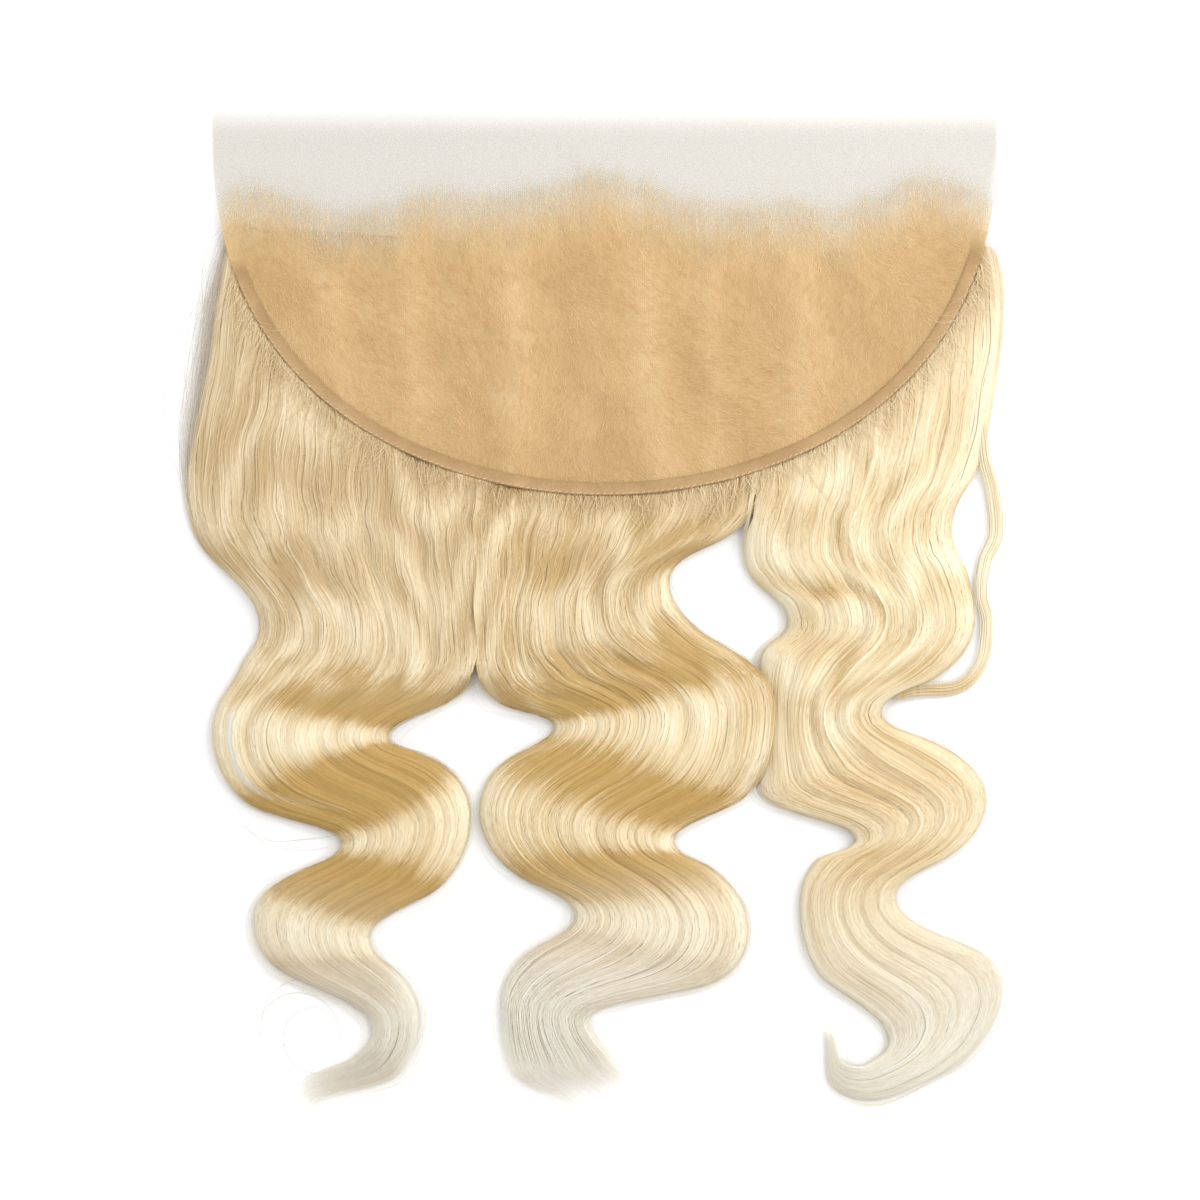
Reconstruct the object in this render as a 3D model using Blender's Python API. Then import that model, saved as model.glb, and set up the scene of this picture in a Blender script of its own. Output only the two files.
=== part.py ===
"""Lace frontal hairpiece, laid out flat with its inner, scalp side up.

A D-shaped panel of fine lace, 13 inches from ear to ear, carries the hair on its lower face. The hair
starts at a wavy hairline behind a bare straight lace margin, runs under the lace to the round rear edge,
and leaves it in three falls of body wave and one thin side wisp. A folded hem finishes the round edge.

Metres, +X to the right, +Y towards the bare front margin, +Z up and away from the floor at Z = 0.
"""
from math import cos, exp, hypot, pi, sin
from typing import NamedTuple

import bmesh
import bpy

MM = 0.001

# Lace panel: half a superellipse, with its straight side in front.
LACE_CENTRE_X = 4.3
LACE_FRONT_Y = 212.0
LACE_HALF_WIDTH = 167.0
LACE_DEPTH = 163.2
LACE_SHOULDER_Y = 208.0
LACE_ROUNDNESS = 2.52
LACE_WALL = 1.0
LACE_COLUMNS = 40
LACE_ROWS = 14

# How the lace climbs from the floor over the hair.
FLAT_MARGIN = 20.0
HAIRLINE_DEPTH = 33.0
HAIRLINE_RISE = 1.7
REAR_RISE = 9.5
CLIMB_EASE = 0.9
FOLD_FADE_START = 0.22
FOLD_FADE_END = 0.55

# Folded hem along the round edge, whose ends lie on columns of the lace.
HEM_WIDTH = 5.5
HEM_WALL = 1.0
HEM_FIRST_COLUMN = 4
HEM_LAST_COLUMN = 37
HEM_STEPS_A_COLUMN = 2
RIM_STEP = 0.004

# Clearances between pieces.
HEM_GAP = 0.7
HAIR_GAP = 0.6

# Hair falls.
EDGE_HEIGHT = 1.3
FALL_COLUMNS = 20
FALL_ROWS = 56
LOCK_VALLEY = 0.26
LOCK_SHARPNESS = 0.7
EDGE_SHOULDER = 0.15
TIP_CUT = 0.022
RISE_START = 11.0
RISE_END = 27.0
HAIRLINE_Y = 168.0
LEFT_PARTING = -50.5
RIGHT_PARTING = 68.5
PARTING_HALF_GAP = 0.5

# How the waves run through the rows of a fall.
TURN_DROP = 1.4
CROSSING_DROP = 0.62
CROSSING_SWING = 1.35
WAVE_SWING = 9.0


class Fold(NamedTuple):
    """A soft fold of the lace, from the hairline to the rear edge."""

    front_x: float
    rear_x: float
    height: float
    half_width: float


class Section(NamedTuple):
    """A row across a fall of hair: its left end, its right end and its height, in mm."""

    left_x: float
    left_y: float
    right_x: float
    right_y: float
    height: float


class Stop(NamedTuple):
    """A point that a curve passes through, in mm."""

    x: float
    y: float


class WispStop(NamedTuple):
    """A point on the side wisp, with its half width there, in mm."""

    x: float
    y: float
    radius: float


class Fall(NamedTuple):
    """One fall of hair, and which of its sides lie open under the lace."""

    name: str
    rows: list
    locks: int
    open_left: bool
    open_right: bool
    colour: tuple


FOLDS = [
    Fold(front_x=-118.0, rear_x=-106.0, height=1.0, half_width=12.0),
    Fold(front_x=-80.0, rear_x=-76.0, height=1.3, half_width=11.0),
    Fold(front_x=-36.0, rear_x=-34.0, height=1.7, half_width=12.0),
    Fold(front_x=10.0, rear_x=28.0, height=1.5, half_width=12.0),
    Fold(front_x=46.0, rear_x=50.0, height=0.9, half_width=8.0),
    Fold(front_x=92.0, rear_x=86.0, height=1.5, half_width=13.0),
]

# The wavy front end of the hair, seen through the lace.
HAIRLINE = [
    Stop(-160.0, 169.0),
    Stop(-142.0, 171.0),
    Stop(-125.0, 166.0),
    Stop(-106.0, 160.0),
    Stop(-90.0, 163.0),
    Stop(-72.0, 170.0),
    Stop(-50.0, 168.0),
    Stop(-23.0, 171.0),
    Stop(2.0, 178.0),
    Stop(19.0, 174.0),
    Stop(38.0, 167.0),
    Stop(56.0, 164.0),
    Stop(79.0, 165.0),
    Stop(104.0, 163.0),
    Stop(118.0, 167.0),
    Stop(137.0, 176.0),
    Stop(155.0, 173.0),
    Stop(172.0, 166.0),
]

LEFT_ROWS = [
    Section(-153, HAIRLINE_Y, LEFT_PARTING, HAIRLINE_Y, 1.2),
    Section(-158, 144, LEFT_PARTING, 128, 4.0),
    Section(-165, 98, LEFT_PARTING, 88, 7.5),
    Section(-173, 52, LEFT_PARTING, 50, 10.0),
    Section(-163, 19, LEFT_PARTING, 18, 12.0),
    Section(-142, -9, LEFT_PARTING, -20, 12.5),
    Section(-150, -28, -66, -44, 12.0),
    Section(-162, -56, -88, -57, 11.5),
    Section(-143, -88, -71, -66, 10.5),
    Section(-107, -102, -53, -91, 10.0),
    Section(-124, -114, -70, -124, 9.0),
    Section(-145, -135, -96, -142, 8.0),
    Section(-130, -159, -87, -155, 7.0),
    Section(-94, -180, -75, -177, 5.5),
    Section(-102, -193, -82, -200, 4.0),
    Section(-120, -200, -112, -211, 2.5),
]

MIDDLE_ROWS = [
    Section(LEFT_PARTING, HAIRLINE_Y, RIGHT_PARTING, HAIRLINE_Y, 1.5),
    Section(LEFT_PARTING, 128, RIGHT_PARTING, 128, 5.5),
    Section(LEFT_PARTING, 88, RIGHT_PARTING, 88, 8.0),
    Section(LEFT_PARTING, 52, RIGHT_PARTING, 52, 10.5),
    Section(LEFT_PARTING, 20, 53, 26, 12.5),
    Section(LEFT_PARTING, -20, 31, 8, 13.0),
    Section(-38, -44, 51, -17, 12.5),
    Section(-17, -53, 74, -46, 12.0),
    Section(-33, -65, 62, -84, 11.5),
    Section(-49, -89, 33, -101, 11.0),
    Section(-30, -118, 47, -112, 10.0),
    Section(-8, -133, 65, -139, 9.0),
    Section(-25, -147, 47, -163, 7.5),
    Section(-40, -172, -3, -177, 6.0),
    Section(-37, -198, 8, -194, 4.5),
    Section(-17, -212, 15, -202, 2.5),
]

RIGHT_ROWS = [
    Section(RIGHT_PARTING, HAIRLINE_Y, 165, HAIRLINE_Y, 1.2),
    Section(RIGHT_PARTING, 128, 173, 128, 4.0),
    Section(RIGHT_PARTING, 88, 169, 86, 7.5),
    Section(RIGHT_PARTING, 52, 160, 52, 10.0),
    Section(63, 24, 151, 30, 11.5),
    Section(72, 5, 158, 11, 12.0),
    Section(82, -9, 161, -9, 12.0),
    Section(70, -26, 141, -34, 11.5),
    Section(76, -50, 121, -47, 11.0),
    Section(69.5, -79, 141, -59, 10.5),
    Section(111, -100, 166, -84, 10.0),
    Section(93, -111, 147, -110, 9.0),
    Section(87, -130, 127, -126, 8.0),
    Section(98, -161, 149, -143, 7.0),
    Section(125, -185, 173, -164, 5.5),
    Section(116, -196, 148, -200, 4.0),
    Section(109, -197, 118, -212, 3.0),
    Section(104, -194, 99, -203, 2.5),
    Section(102, -186, 98, -189, 2.0),
]

WISP = [
    WispStop(164.65, 61.5, 1.2),
    WispStop(168.8, 46.0, 2.0),
    WispStop(170.3, 31.0, 2.2),
    WispStop(165.5, 17.0, 2.2),
    WispStop(163.8, 4.0, 2.2),
    WispStop(166.5, -9.0, 2.2),
    WispStop(165.5, -21.5, 2.2),
    WispStop(160.5, -31.5, 2.2),
    WispStop(150.5, -37.0, 2.0),
    WispStop(138.8, -35.95, 1.2),
]
WISP_SIDES = 8
WISP_STEPS = 28
WISP_FLATNESS = 0.8
WISP_RUN_STEP = 0.01

# Finishes.
SHARP_ANGLE = 0.7
LACE_COLOUR = (0.82, 0.74, 0.62, 1.0)
HEM_COLOUR = (0.62, 0.44, 0.28, 1.0)
GOLDEN_HAIR = (0.70, 0.55, 0.32, 1.0)
HONEY_HAIR = (0.72, 0.57, 0.33, 1.0)
PALE_HAIR = (0.76, 0.62, 0.38, 1.0)
LACE_ROUGHNESS = 0.9
HEM_ROUGHNESS = 0.8
HAIR_ROUGHNESS = 0.45

FALLS = [
    Fall("left_fall", LEFT_ROWS, 5, True, False, GOLDEN_HAIR),
    Fall("middle_fall", MIDDLE_ROWS, 5, False, False, HONEY_HAIR),
    Fall("right_fall", RIGHT_ROWS, 5, False, True, PALE_HAIR),
]


def clamp(value):
    """Returns value held between 0 and 1."""
    return min(1.0, max(0.0, value))


def smooth(start, end, value):
    """Returns 0 before start and 1 after end, with a soft S between."""
    t = clamp((value - start) / (end - start))
    return t * t * (3.0 - 2.0 * t)


def wave_slopes(before, here, after):
    """Returns how fast x and y run past a stop of a wavy edge, given as pairs of x and y.

    Where the edge turns it runs straight down and fast. Where it crosses it runs sideways, and down slowly.
    """
    back, ahead = here[0] - before[0], after[0] - here[0]
    drop = (after[1] - before[1]) / 2.0
    if back * ahead <= 0.0:
        return 0.0, drop * TURN_DROP
    swing = 2.0 * back * ahead / (back + ahead)
    if min(abs(back), abs(ahead)) < WAVE_SWING:
        return swing, drop
    return swing * CROSSING_SWING, drop * CROSSING_DROP


def cubic(start, end, leave, arrive, f):
    """Returns the cubic from start to end at f, 0 to 1, with its slopes at both ends."""
    bend = (1.0 - f) * (leave - (end - start)) - f * (arrive - (end - start))
    return start + (end - start) * f + f * (1.0 - f) * bend


def wave(stops, t):
    """Returns x and y at t, 0 to 1, on the wavy edge through a list of x and y pairs."""
    place = clamp(t) * (len(stops) - 1)
    index = min(int(place), len(stops) - 2)
    first, second = stops[index], stops[index + 1]
    plain = (second[0] - first[0], second[1] - first[1])
    leave = wave_slopes(stops[index - 1], first, second) if index > 0 else plain
    last = index + 2 == len(stops)
    arrive = plain if last else wave_slopes(first, second, stops[index + 2])
    f = place - index
    x = cubic(first[0], second[0], leave[0], arrive[0], f)
    y = cubic(first[1], second[1], leave[1], arrive[1], f)
    return x, y


def eased(values, t):
    """Returns the value at t, 0 to 1, along a list of evenly spaced values."""
    place = clamp(t) * (len(values) - 1)
    index = min(int(place), len(values) - 2)
    return values[index] + (values[index + 1] - values[index]) * smooth(0.0, 1.0, place - index)


def hairline_y(x):
    """Returns how far forward the hair starts at x."""
    for first, second in zip(HAIRLINE, HAIRLINE[1:]):
        if x <= second.x:
            return first.y + (second.y - first.y) * smooth(first.x, second.x, x)
    return HAIRLINE[-1].y


def rim(turn):
    """Returns x and y on the round edge of the lace, from its left end at turn 0 to its right at 1."""
    angle = pi * (1.0 - turn)
    x = LACE_CENTRE_X + LACE_HALF_WIDTH * cos(angle)
    y = LACE_SHOULDER_Y - LACE_DEPTH * max(sin(angle), 0.0) ** (2.0 / LACE_ROUNDNESS)
    return x, y


def outside(x, y):
    """Returns roughly how far a point lies outside the round edge, less than 0 inside it."""
    across = (x - LACE_CENTRE_X) / LACE_HALF_WIDTH
    back = max(LACE_SHOULDER_Y - y, 0.01) / LACE_DEPTH
    level = across ** 2 + back ** LACE_ROUNDNESS - 1.0
    slope_x = 2.0 * across / LACE_HALF_WIDTH
    slope_y = LACE_ROUNDNESS * back ** (LACE_ROUNDNESS - 1.0) / LACE_DEPTH
    return level / max(hypot(slope_x, slope_y), 1e-6)


def lace_rise(y):
    """Returns the height of the unfolded lace's lower face."""
    back = LACE_FRONT_Y - y
    rear_y = LACE_SHOULDER_Y - LACE_DEPTH
    climb = max(back - HAIRLINE_DEPTH, 0.0) / (LACE_FRONT_Y - rear_y - HAIRLINE_DEPTH)
    front = HAIRLINE_RISE * smooth(FLAT_MARGIN, HAIRLINE_DEPTH, back)
    return front + (REAR_RISE - HAIRLINE_RISE) * climb ** CLIMB_EASE


def lace_floor(x, y):
    """Returns the height of the lace's lower face, with its folds."""
    back = clamp((LACE_FRONT_Y - y) / LACE_DEPTH)
    lift = 0.0
    for fold in FOLDS:
        crest = fold.front_x + (fold.rear_x - fold.front_x) * back
        lift += fold.height * exp(-2.0 * ((x - crest) / fold.half_width) ** 2)
    return lace_rise(y) + lift * smooth(FOLD_FADE_START, FOLD_FADE_END, back)


def add_material(obj, colour, roughness):
    """Gives an object its own plain Principled material."""
    material = bpy.data.materials.new(obj.name + "_finish")
    material.use_nodes = True
    shader = material.node_tree.nodes["Principled BSDF"]
    shader.inputs["Base Color"].default_value = colour
    shader.inputs["Roughness"].default_value = roughness
    shader.inputs["Metallic"].default_value = 0.0
    obj.data.materials.append(material)


def add_object(name, bm, colour, roughness):
    """Makes a named object of a bmesh that was built in millimetres."""
    bmesh.ops.scale(bm, vec=(MM, MM, MM), verts=bm.verts)
    bmesh.ops.recalc_face_normals(bm, faces=bm.faces)
    mesh = bpy.data.meshes.new(name)
    bm.to_mesh(mesh)
    bm.free()
    mesh.shade_smooth()
    mesh.set_sharp_from_angle(angle=SHARP_ANGLE)
    obj = bpy.data.objects.new(name, mesh)
    bpy.context.collection.objects.link(obj)
    add_material(obj, colour, roughness)
    return obj


def wall(columns, rows, upper, lower):
    """Returns a closed wall between two faces, each a function of u and v that run from 0 to 1."""
    bm = bmesh.new()
    bmesh.ops.create_grid(bm, x_segments=columns, y_segments=rows, size=0.5)
    spots = {vert: (clamp(vert.co.x + 0.5), clamp(vert.co.y + 0.5)) for vert in bm.verts}
    top_verts = list(bm.verts)
    sides = bmesh.ops.extrude_face_region(bm, geom=list(bm.faces), use_keep_orig=True)
    lower_verts = [item for item in sides["geom"] if isinstance(item, bmesh.types.BMVert)]
    for vert in lower_verts:
        vert.co = lower(clamp(vert.co.x + 0.5), clamp(vert.co.y + 0.5))
    for vert in top_verts:
        vert.co = upper(*spots[vert])
    return bm


def join_flat_faces(bm, is_flat):
    """Joins the faces that lie in one plane, among the corners that is_flat picks."""
    verts = [vert for vert in bm.verts if is_flat(vert.co)]
    picked = set(verts)
    edges = [edge for edge in bm.edges if picked.issuperset(edge.verts)]
    bmesh.ops.dissolve_limit(bm, angle_limit=0.0005, verts=verts, edges=edges)


def lace_spot(u, v):
    """Returns x and y on the lace, from its left to its right, and from its round edge to the front."""
    x, y = rim(u)
    return x, y + (LACE_FRONT_Y - y) * v


def make_lace():
    """Makes the D-shaped lace, a thin wall that climbs over the hair in soft folds."""

    def upper(u, v):
        x, y = lace_spot(u, v)
        return x, y, lace_floor(x, y) + LACE_WALL

    def lower(u, v):
        x, y = lace_spot(u, v)
        return x, y, lace_floor(x, y)

    bm = wall(LACE_COLUMNS, LACE_ROWS, upper, lower)
    join_flat_faces(bm, lambda spot: spot.y > LACE_FRONT_Y - FLAT_MARGIN)
    return add_object("lace_panel", bm, LACE_COLOUR, LACE_ROUGHNESS)


def make_hem():
    """Makes the folded hem, a narrow band on the lace along its round edge."""

    def spot(u, v):
        x, y = rim(u)
        ahead = rim(min(u + RIM_STEP, 1.0))
        behind = rim(max(u - RIM_STEP, 0.0))
        run_x, run_y = ahead[0] - behind[0], ahead[1] - behind[1]
        length = hypot(run_x, run_y)
        return x - run_y / length * HEM_WIDTH * v, y + run_x / length * HEM_WIDTH * v

    first = HEM_FIRST_COLUMN / LACE_COLUMNS
    last = HEM_LAST_COLUMN / LACE_COLUMNS
    columns = (HEM_LAST_COLUMN - HEM_FIRST_COLUMN) * HEM_STEPS_A_COLUMN

    def lower(u, v):
        x, y = spot(first + (last - first) * u, v)
        return x, y, lace_floor(x, y) + LACE_WALL + HEM_GAP

    def upper(u, v):
        x, y, z = lower(u, v)
        return x, y, z + HEM_WALL

    return add_object("edge_hem", wall(columns, 1, upper, lower), HEM_COLOUR, HEM_ROUGHNESS)


def make_fall(fall):
    """Makes one fall of hair: locks fused side by side, with a flat back that lies on the floor."""

    left_edge = [(row.left_x, row.left_y) for row in fall.rows]
    right_edge = [(row.right_x, row.right_y) for row in fall.rows]
    heights = [row.height for row in fall.rows]

    def lock(u):
        return abs(sin(pi * fall.locks * u)) ** LOCK_SHARPNESS

    def spot(u, v):
        v *= 1.0 - TIP_CUT * (1.0 - lock(u))
        left, right = wave(left_edge, v), wave(right_edge, v)
        x = left[0] + (right[0] - left[0]) * u
        y = left[1] + (right[1] - left[1]) * u
        front = 1.0 - smooth(0.0, 1.0, v * (len(fall.rows) - 1))
        y += (hairline_y(x) - HAIRLINE_Y) * front
        if u == 0.0:
            x += PARTING_HALF_GAP
        if u == 1.0:
            x -= PARTING_HALF_GAP
        return x, y, eased(heights, v)

    def shoulder(inward):
        return clamp(1.0 - (1.0 - clamp(inward / EDGE_SHOULDER)) ** 3) ** 0.5

    def covered(u, y):
        level = lace_rise(y) - HAIR_GAP
        edge = min(level, EDGE_HEIGHT)
        left = shoulder(u) if fall.open_left else 1.0
        right = shoulder(1.0 - u) if fall.open_right else 1.0
        return edge + (level - edge) * min(left, right)

    def free(u, height):
        crown = clamp(1.0 - abs(2.0 * u - 1.0) ** 3) ** 0.5
        fused = 1.0 - LOCK_VALLEY * (1.0 - lock(u))
        return EDGE_HEIGHT + (height - EDGE_HEIGHT) * crown * fused

    def upper(u, v):
        v = 1.0 - v
        x, y, height = spot(u, v)
        bare = smooth(RISE_START, RISE_END, outside(x, y))
        return x, y, covered(u, y) * (1.0 - bare) + free(u, height) * bare

    def lower(u, v):
        x, y, _ = spot(u, 1.0 - v)
        return x, y, 0.0

    bm = wall(FALL_COLUMNS, FALL_ROWS, upper, lower)
    join_flat_faces(bm, lambda corner: corner.z == 0.0)
    return add_object(fall.name, bm, fall.colour, HAIR_ROUGHNESS)


def make_wisp():
    """Makes the thin lock that strays beside the right fall, a flattened tapering tube on the floor."""
    route = [(stop.x, stop.y) for stop in WISP]
    radii = [stop.radius for stop in WISP]
    bm = bmesh.new()
    rings = []
    for step in range(WISP_STEPS + 1):
        t = step / WISP_STEPS
        x, y = wave(route, t)
        ahead = wave(route, min(t + WISP_RUN_STEP, 1.0))
        behind = wave(route, max(t - WISP_RUN_STEP, 0.0))
        run = hypot(ahead[0] - behind[0], ahead[1] - behind[1])
        side_x, side_y = (ahead[1] - behind[1]) / run, -(ahead[0] - behind[0]) / run
        radius = eased(radii, t)
        ring = []
        for side in range(WISP_SIDES):
            angle = 2.0 * pi * (side + 0.5) / WISP_SIDES
            out = radius * cos(angle)
            up = radius * WISP_FLATNESS * (sin(angle) + cos(pi / WISP_SIDES))
            ring.append(bm.verts.new((x + side_x * out, y + side_y * out, up)))
        rings.append(ring)
    for first, second in zip(rings, rings[1:]):
        for side in range(WISP_SIDES):
            following = (side + 1) % WISP_SIDES
            bm.faces.new((first[side], first[following], second[following], second[side]))
    bm.faces.new(rings[0])
    bm.faces.new(rings[-1])
    return add_object("side_wisp", bm, PALE_HAIR, HAIR_ROUGHNESS)


def main():
    """Clears the scene and makes every piece."""
    for obj in list(bpy.data.objects):
        bpy.data.objects.remove(obj, do_unlink=True)
    make_lace()
    make_hem()
    for fall in FALLS:
        make_fall(fall)
    make_wisp()


main()
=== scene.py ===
"""Looks of a blonde lace frontal hairpiece that lies flat, scalp side up, on a white surface.

The CAD solids give its form: a D-shaped lace panel with a folded hem, three falls of body wave and a side
wisp. Here each fall becomes a combed body of hair under hundreds of single locks, the lace becomes a fine
see-through net over short root hairs, and baby hair, stray hairs and stitches are added.

Metres, in the frame of the CAD model. Tables are in millimetres and are turned into metres with MM.
"""
import logging
import math
from dataclasses import dataclass
from enum import Enum
from typing import Any, Iterable, NamedTuple, Sequence

import bpy
import numpy as np
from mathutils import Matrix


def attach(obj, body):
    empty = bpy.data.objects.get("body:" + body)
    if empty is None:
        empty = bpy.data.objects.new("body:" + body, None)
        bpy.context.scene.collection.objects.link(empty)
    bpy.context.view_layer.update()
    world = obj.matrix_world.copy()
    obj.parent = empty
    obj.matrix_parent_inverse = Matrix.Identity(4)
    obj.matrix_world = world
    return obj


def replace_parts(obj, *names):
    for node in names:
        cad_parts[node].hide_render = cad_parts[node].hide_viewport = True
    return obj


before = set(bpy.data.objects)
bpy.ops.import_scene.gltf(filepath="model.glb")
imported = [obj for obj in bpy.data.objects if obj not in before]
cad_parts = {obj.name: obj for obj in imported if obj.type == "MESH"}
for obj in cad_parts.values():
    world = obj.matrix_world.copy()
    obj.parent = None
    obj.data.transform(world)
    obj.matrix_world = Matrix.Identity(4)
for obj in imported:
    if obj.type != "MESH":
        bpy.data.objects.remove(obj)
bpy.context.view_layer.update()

LOG = logging.getLogger("hairpiece")
Array = np.ndarray
Colour = tuple[float, float, float]
Object = bpy.types.Object
Material = bpy.types.Material

MM = 0.001
BAKE_MAP = "OFBake"

# Camera: straight above, with the frame of the photograph.
PHOTO_PIXELS = 1200
MM_A_PIXEL = 0.425
FRAME_CENTRE = (2.1, 0.6)
CAMERA_HEIGHT = 1.7
SENSOR = 36.0


class Slot(Enum):
    """The material slots of the record."""

    LACE = "lace"
    HEM = "hem"
    HAIR = "hair"


class Section(NamedTuple):
    """A row across a fall of hair: its left end, its right end and its height, in mm."""

    left_x: float
    left_y: float
    right_x: float
    right_y: float
    height: float


class Fold(NamedTuple):
    """A soft fold of the lace, from the hairline to the rear edge, in mm."""

    front_x: float
    rear_x: float
    height: float
    half_width: float


class Stop(NamedTuple):
    """A point that a curve passes through, in mm."""

    x: float
    y: float


FOLDS = (
    Fold(front_x=-118.0, rear_x=-106.0, height=1.0, half_width=12.0),
    Fold(front_x=-80.0, rear_x=-76.0, height=1.3, half_width=11.0),
    Fold(front_x=-36.0, rear_x=-34.0, height=1.7, half_width=12.0),
    Fold(front_x=10.0, rear_x=28.0, height=1.5, half_width=12.0),
    Fold(front_x=46.0, rear_x=50.0, height=0.9, half_width=8.0),
    Fold(front_x=92.0, rear_x=86.0, height=1.5, half_width=13.0),
)

HAIRLINE = tuple(map(Stop._make, (
    (-160.0, 169.0), (-142.0, 171.0), (-125.0, 166.0), (-106.0, 160.0), (-90.0, 163.0), (-72.0, 170.0),
    (-50.0, 168.0), (-23.0, 171.0), (2.0, 178.0), (19.0, 174.0), (38.0, 167.0), (56.0, 164.0),
    (79.0, 165.0), (104.0, 163.0), (118.0, 167.0), (137.0, 176.0), (155.0, 173.0), (172.0, 166.0),
)))

HAIRLINE_Y = 168.0
LEFT_PARTING = -50.5
RIGHT_PARTING = 68.5

LEFT_ROWS = tuple(map(Section._make, (
    (-153, HAIRLINE_Y, LEFT_PARTING, HAIRLINE_Y, 1.2), (-158, 144, LEFT_PARTING, 128, 4.0),
    (-165, 98, LEFT_PARTING, 88, 7.5), (-173, 52, LEFT_PARTING, 50, 10.0),
    (-163, 19, LEFT_PARTING, 18, 12.0), (-142, -9, LEFT_PARTING, -20, 12.5), (-150, -28, -66, -44, 12.0),
    (-162, -56, -88, -57, 11.5), (-143, -88, -71, -66, 10.5), (-107, -102, -53, -91, 10.0),
    (-124, -114, -70, -124, 9.0), (-145, -135, -96, -142, 8.0), (-130, -159, -87, -155, 7.0),
    (-94, -180, -75, -177, 5.5), (-102, -193, -82, -200, 4.0), (-120, -200, -112, -211, 2.5),
)))

MIDDLE_ROWS = tuple(map(Section._make, (
    (LEFT_PARTING, HAIRLINE_Y, RIGHT_PARTING, HAIRLINE_Y, 1.5),
    (LEFT_PARTING, 128, RIGHT_PARTING, 128, 5.5), (LEFT_PARTING, 88, RIGHT_PARTING, 88, 8.0),
    (LEFT_PARTING, 52, RIGHT_PARTING, 52, 10.5), (LEFT_PARTING, 20, 53, 26, 12.5),
    (LEFT_PARTING, -20, 31, 8, 13.0), (-38, -44, 51, -17, 12.5), (-17, -53, 74, -46, 12.0),
    (-33, -65, 62, -84, 11.5), (-49, -89, 33, -101, 11.0), (-30, -118, 47, -112, 10.0),
    (-8, -133, 65, -139, 9.0), (-25, -147, 47, -163, 7.5), (-40, -172, -3, -177, 6.0),
    (-37, -198, 8, -194, 4.5), (-17, -212, 15, -202, 2.5),
)))

RIGHT_ROWS = tuple(map(Section._make, (
    (RIGHT_PARTING, HAIRLINE_Y, 165, HAIRLINE_Y, 1.2), (RIGHT_PARTING, 128, 173, 128, 4.0),
    (RIGHT_PARTING, 88, 169, 86, 7.5), (RIGHT_PARTING, 52, 160, 52, 10.0), (63, 24, 151, 30, 11.5),
    (72, 5, 158, 11, 12.0), (82, -9, 161, -9, 12.0), (70, -26, 141, -34, 11.5), (71, -50, 121, -47, 11.0),
    (69.5, -79, 141, -59, 10.5), (111, -100, 166, -84, 10.0), (93, -111, 147, -110, 9.0),
    (87, -130, 127, -126, 8.0), (98, -161, 149, -143, 7.0), (125, -185, 173, -164, 5.5),
    (116, -196, 148, -200, 4.0), (109, -197, 118, -212, 3.0), (104, -194, 99, -203, 2.5),
    (102, -186, 98, -189, 2.0),
)))

WISP_ROUTE = tuple(map(Stop._make, (
    (163.5, 78.0), (165.0, 61.5), (168.8, 46.0), (170.3, 31.0), (165.5, 17.0), (163.8, 4.0),
    (166.5, -9.0), (165.5, -21.5), (160.5, -31.5), (150.5, -37.0), (138.8, -37.5), (128.0, -40.0),
)))

# The shape of the lace, its climb over the hair and the swing of the waves are the CAD model's.
LACE_CENTRE_X = 4.3
LACE_FRONT_Y = 212.0
LACE_HALF_WIDTH = 167.0
LACE_DEPTH = 163.2
LACE_SHOULDER_Y = 208.0
LACE_ROUNDNESS = 2.52
LACE_WALL = 1.0
LACE_REAR_Y = LACE_SHOULDER_Y - LACE_DEPTH
FLAT_MARGIN = 20.0
HAIRLINE_DEPTH = 33.0
HAIRLINE_RISE = 1.7
REAR_RISE = 9.5
FOLD_CREST = 1.5
CLIMB_EASE = 0.9
HEM_PROFILE = (
    (0.0, 0.0), (0.2, -0.2), (5.3, -0.2), (5.5, 0.0), (5.3, 0.14), (4.7, 0.22), (4.2, 0.16), (1.3, 0.16),
    (0.8, 0.22), (0.2, 0.14),
)
HEM_LIFT = 0.95
STITCH_INSET = 0.8
STITCH_REACH = 0.75
STITCH_HALF_WIDTH = 0.09
MAP_SPAN = 340.0
HEM_FIRST = 4 / 40
HEM_LAST = 37 / 40
HAIR_GAP = 0.6
EDGE_HEIGHT = 1.3
LOCK_VALLEY = 0.14
TURN_DROP = 1.4
CROSSING_DROP = 0.62
CROSSING_SWING = 1.35
WAVE_SWING = 9.0
SHOULDER = 0.15
RISE_START = 11.0
RISE_END = 27.0

# How the hair finish reads a fall: its streaks run on a sheet of this width and length, in mm.
FLOW_ACROSS = 110.0
FLOW_ALONG = 400.0
# How much the crimp bands lighten and darken the hair's colour: painted highlight and shade along each band.
BAND_HIGHLIGHT = 0.20

# How far two falls that touch run over their common line, as a share of a fall's width.
OVERLAP = 0.004

# How far a hair may wander past a free edge and past a joined one, in mm.
FREE_SLACK = 0.9
JOINED_SLACK = 1.8


def smooth(start: float, end: float, value: Any) -> Any:
    """Returns 0 before start and 1 after end, with a soft S between."""
    t = np.clip((value - start) / (end - start), 0.0, 1.0)
    return t * t * (3.0 - 2.0 * t)


def window(start: tuple[float, float], end: tuple[float, float], value: Any) -> Any:
    """Returns 1 past the soft rise at start and before the soft fall at end, and 0 outside them."""
    return smooth(*start, value) * (1.0 - smooth(*end, value))


def normalised(vectors: Array) -> Array:
    """Returns the vectors at length 1, along the last axis."""
    return vectors / np.maximum(np.linalg.norm(vectors, axis=-1, keepdims=True), 1e-12)


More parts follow.
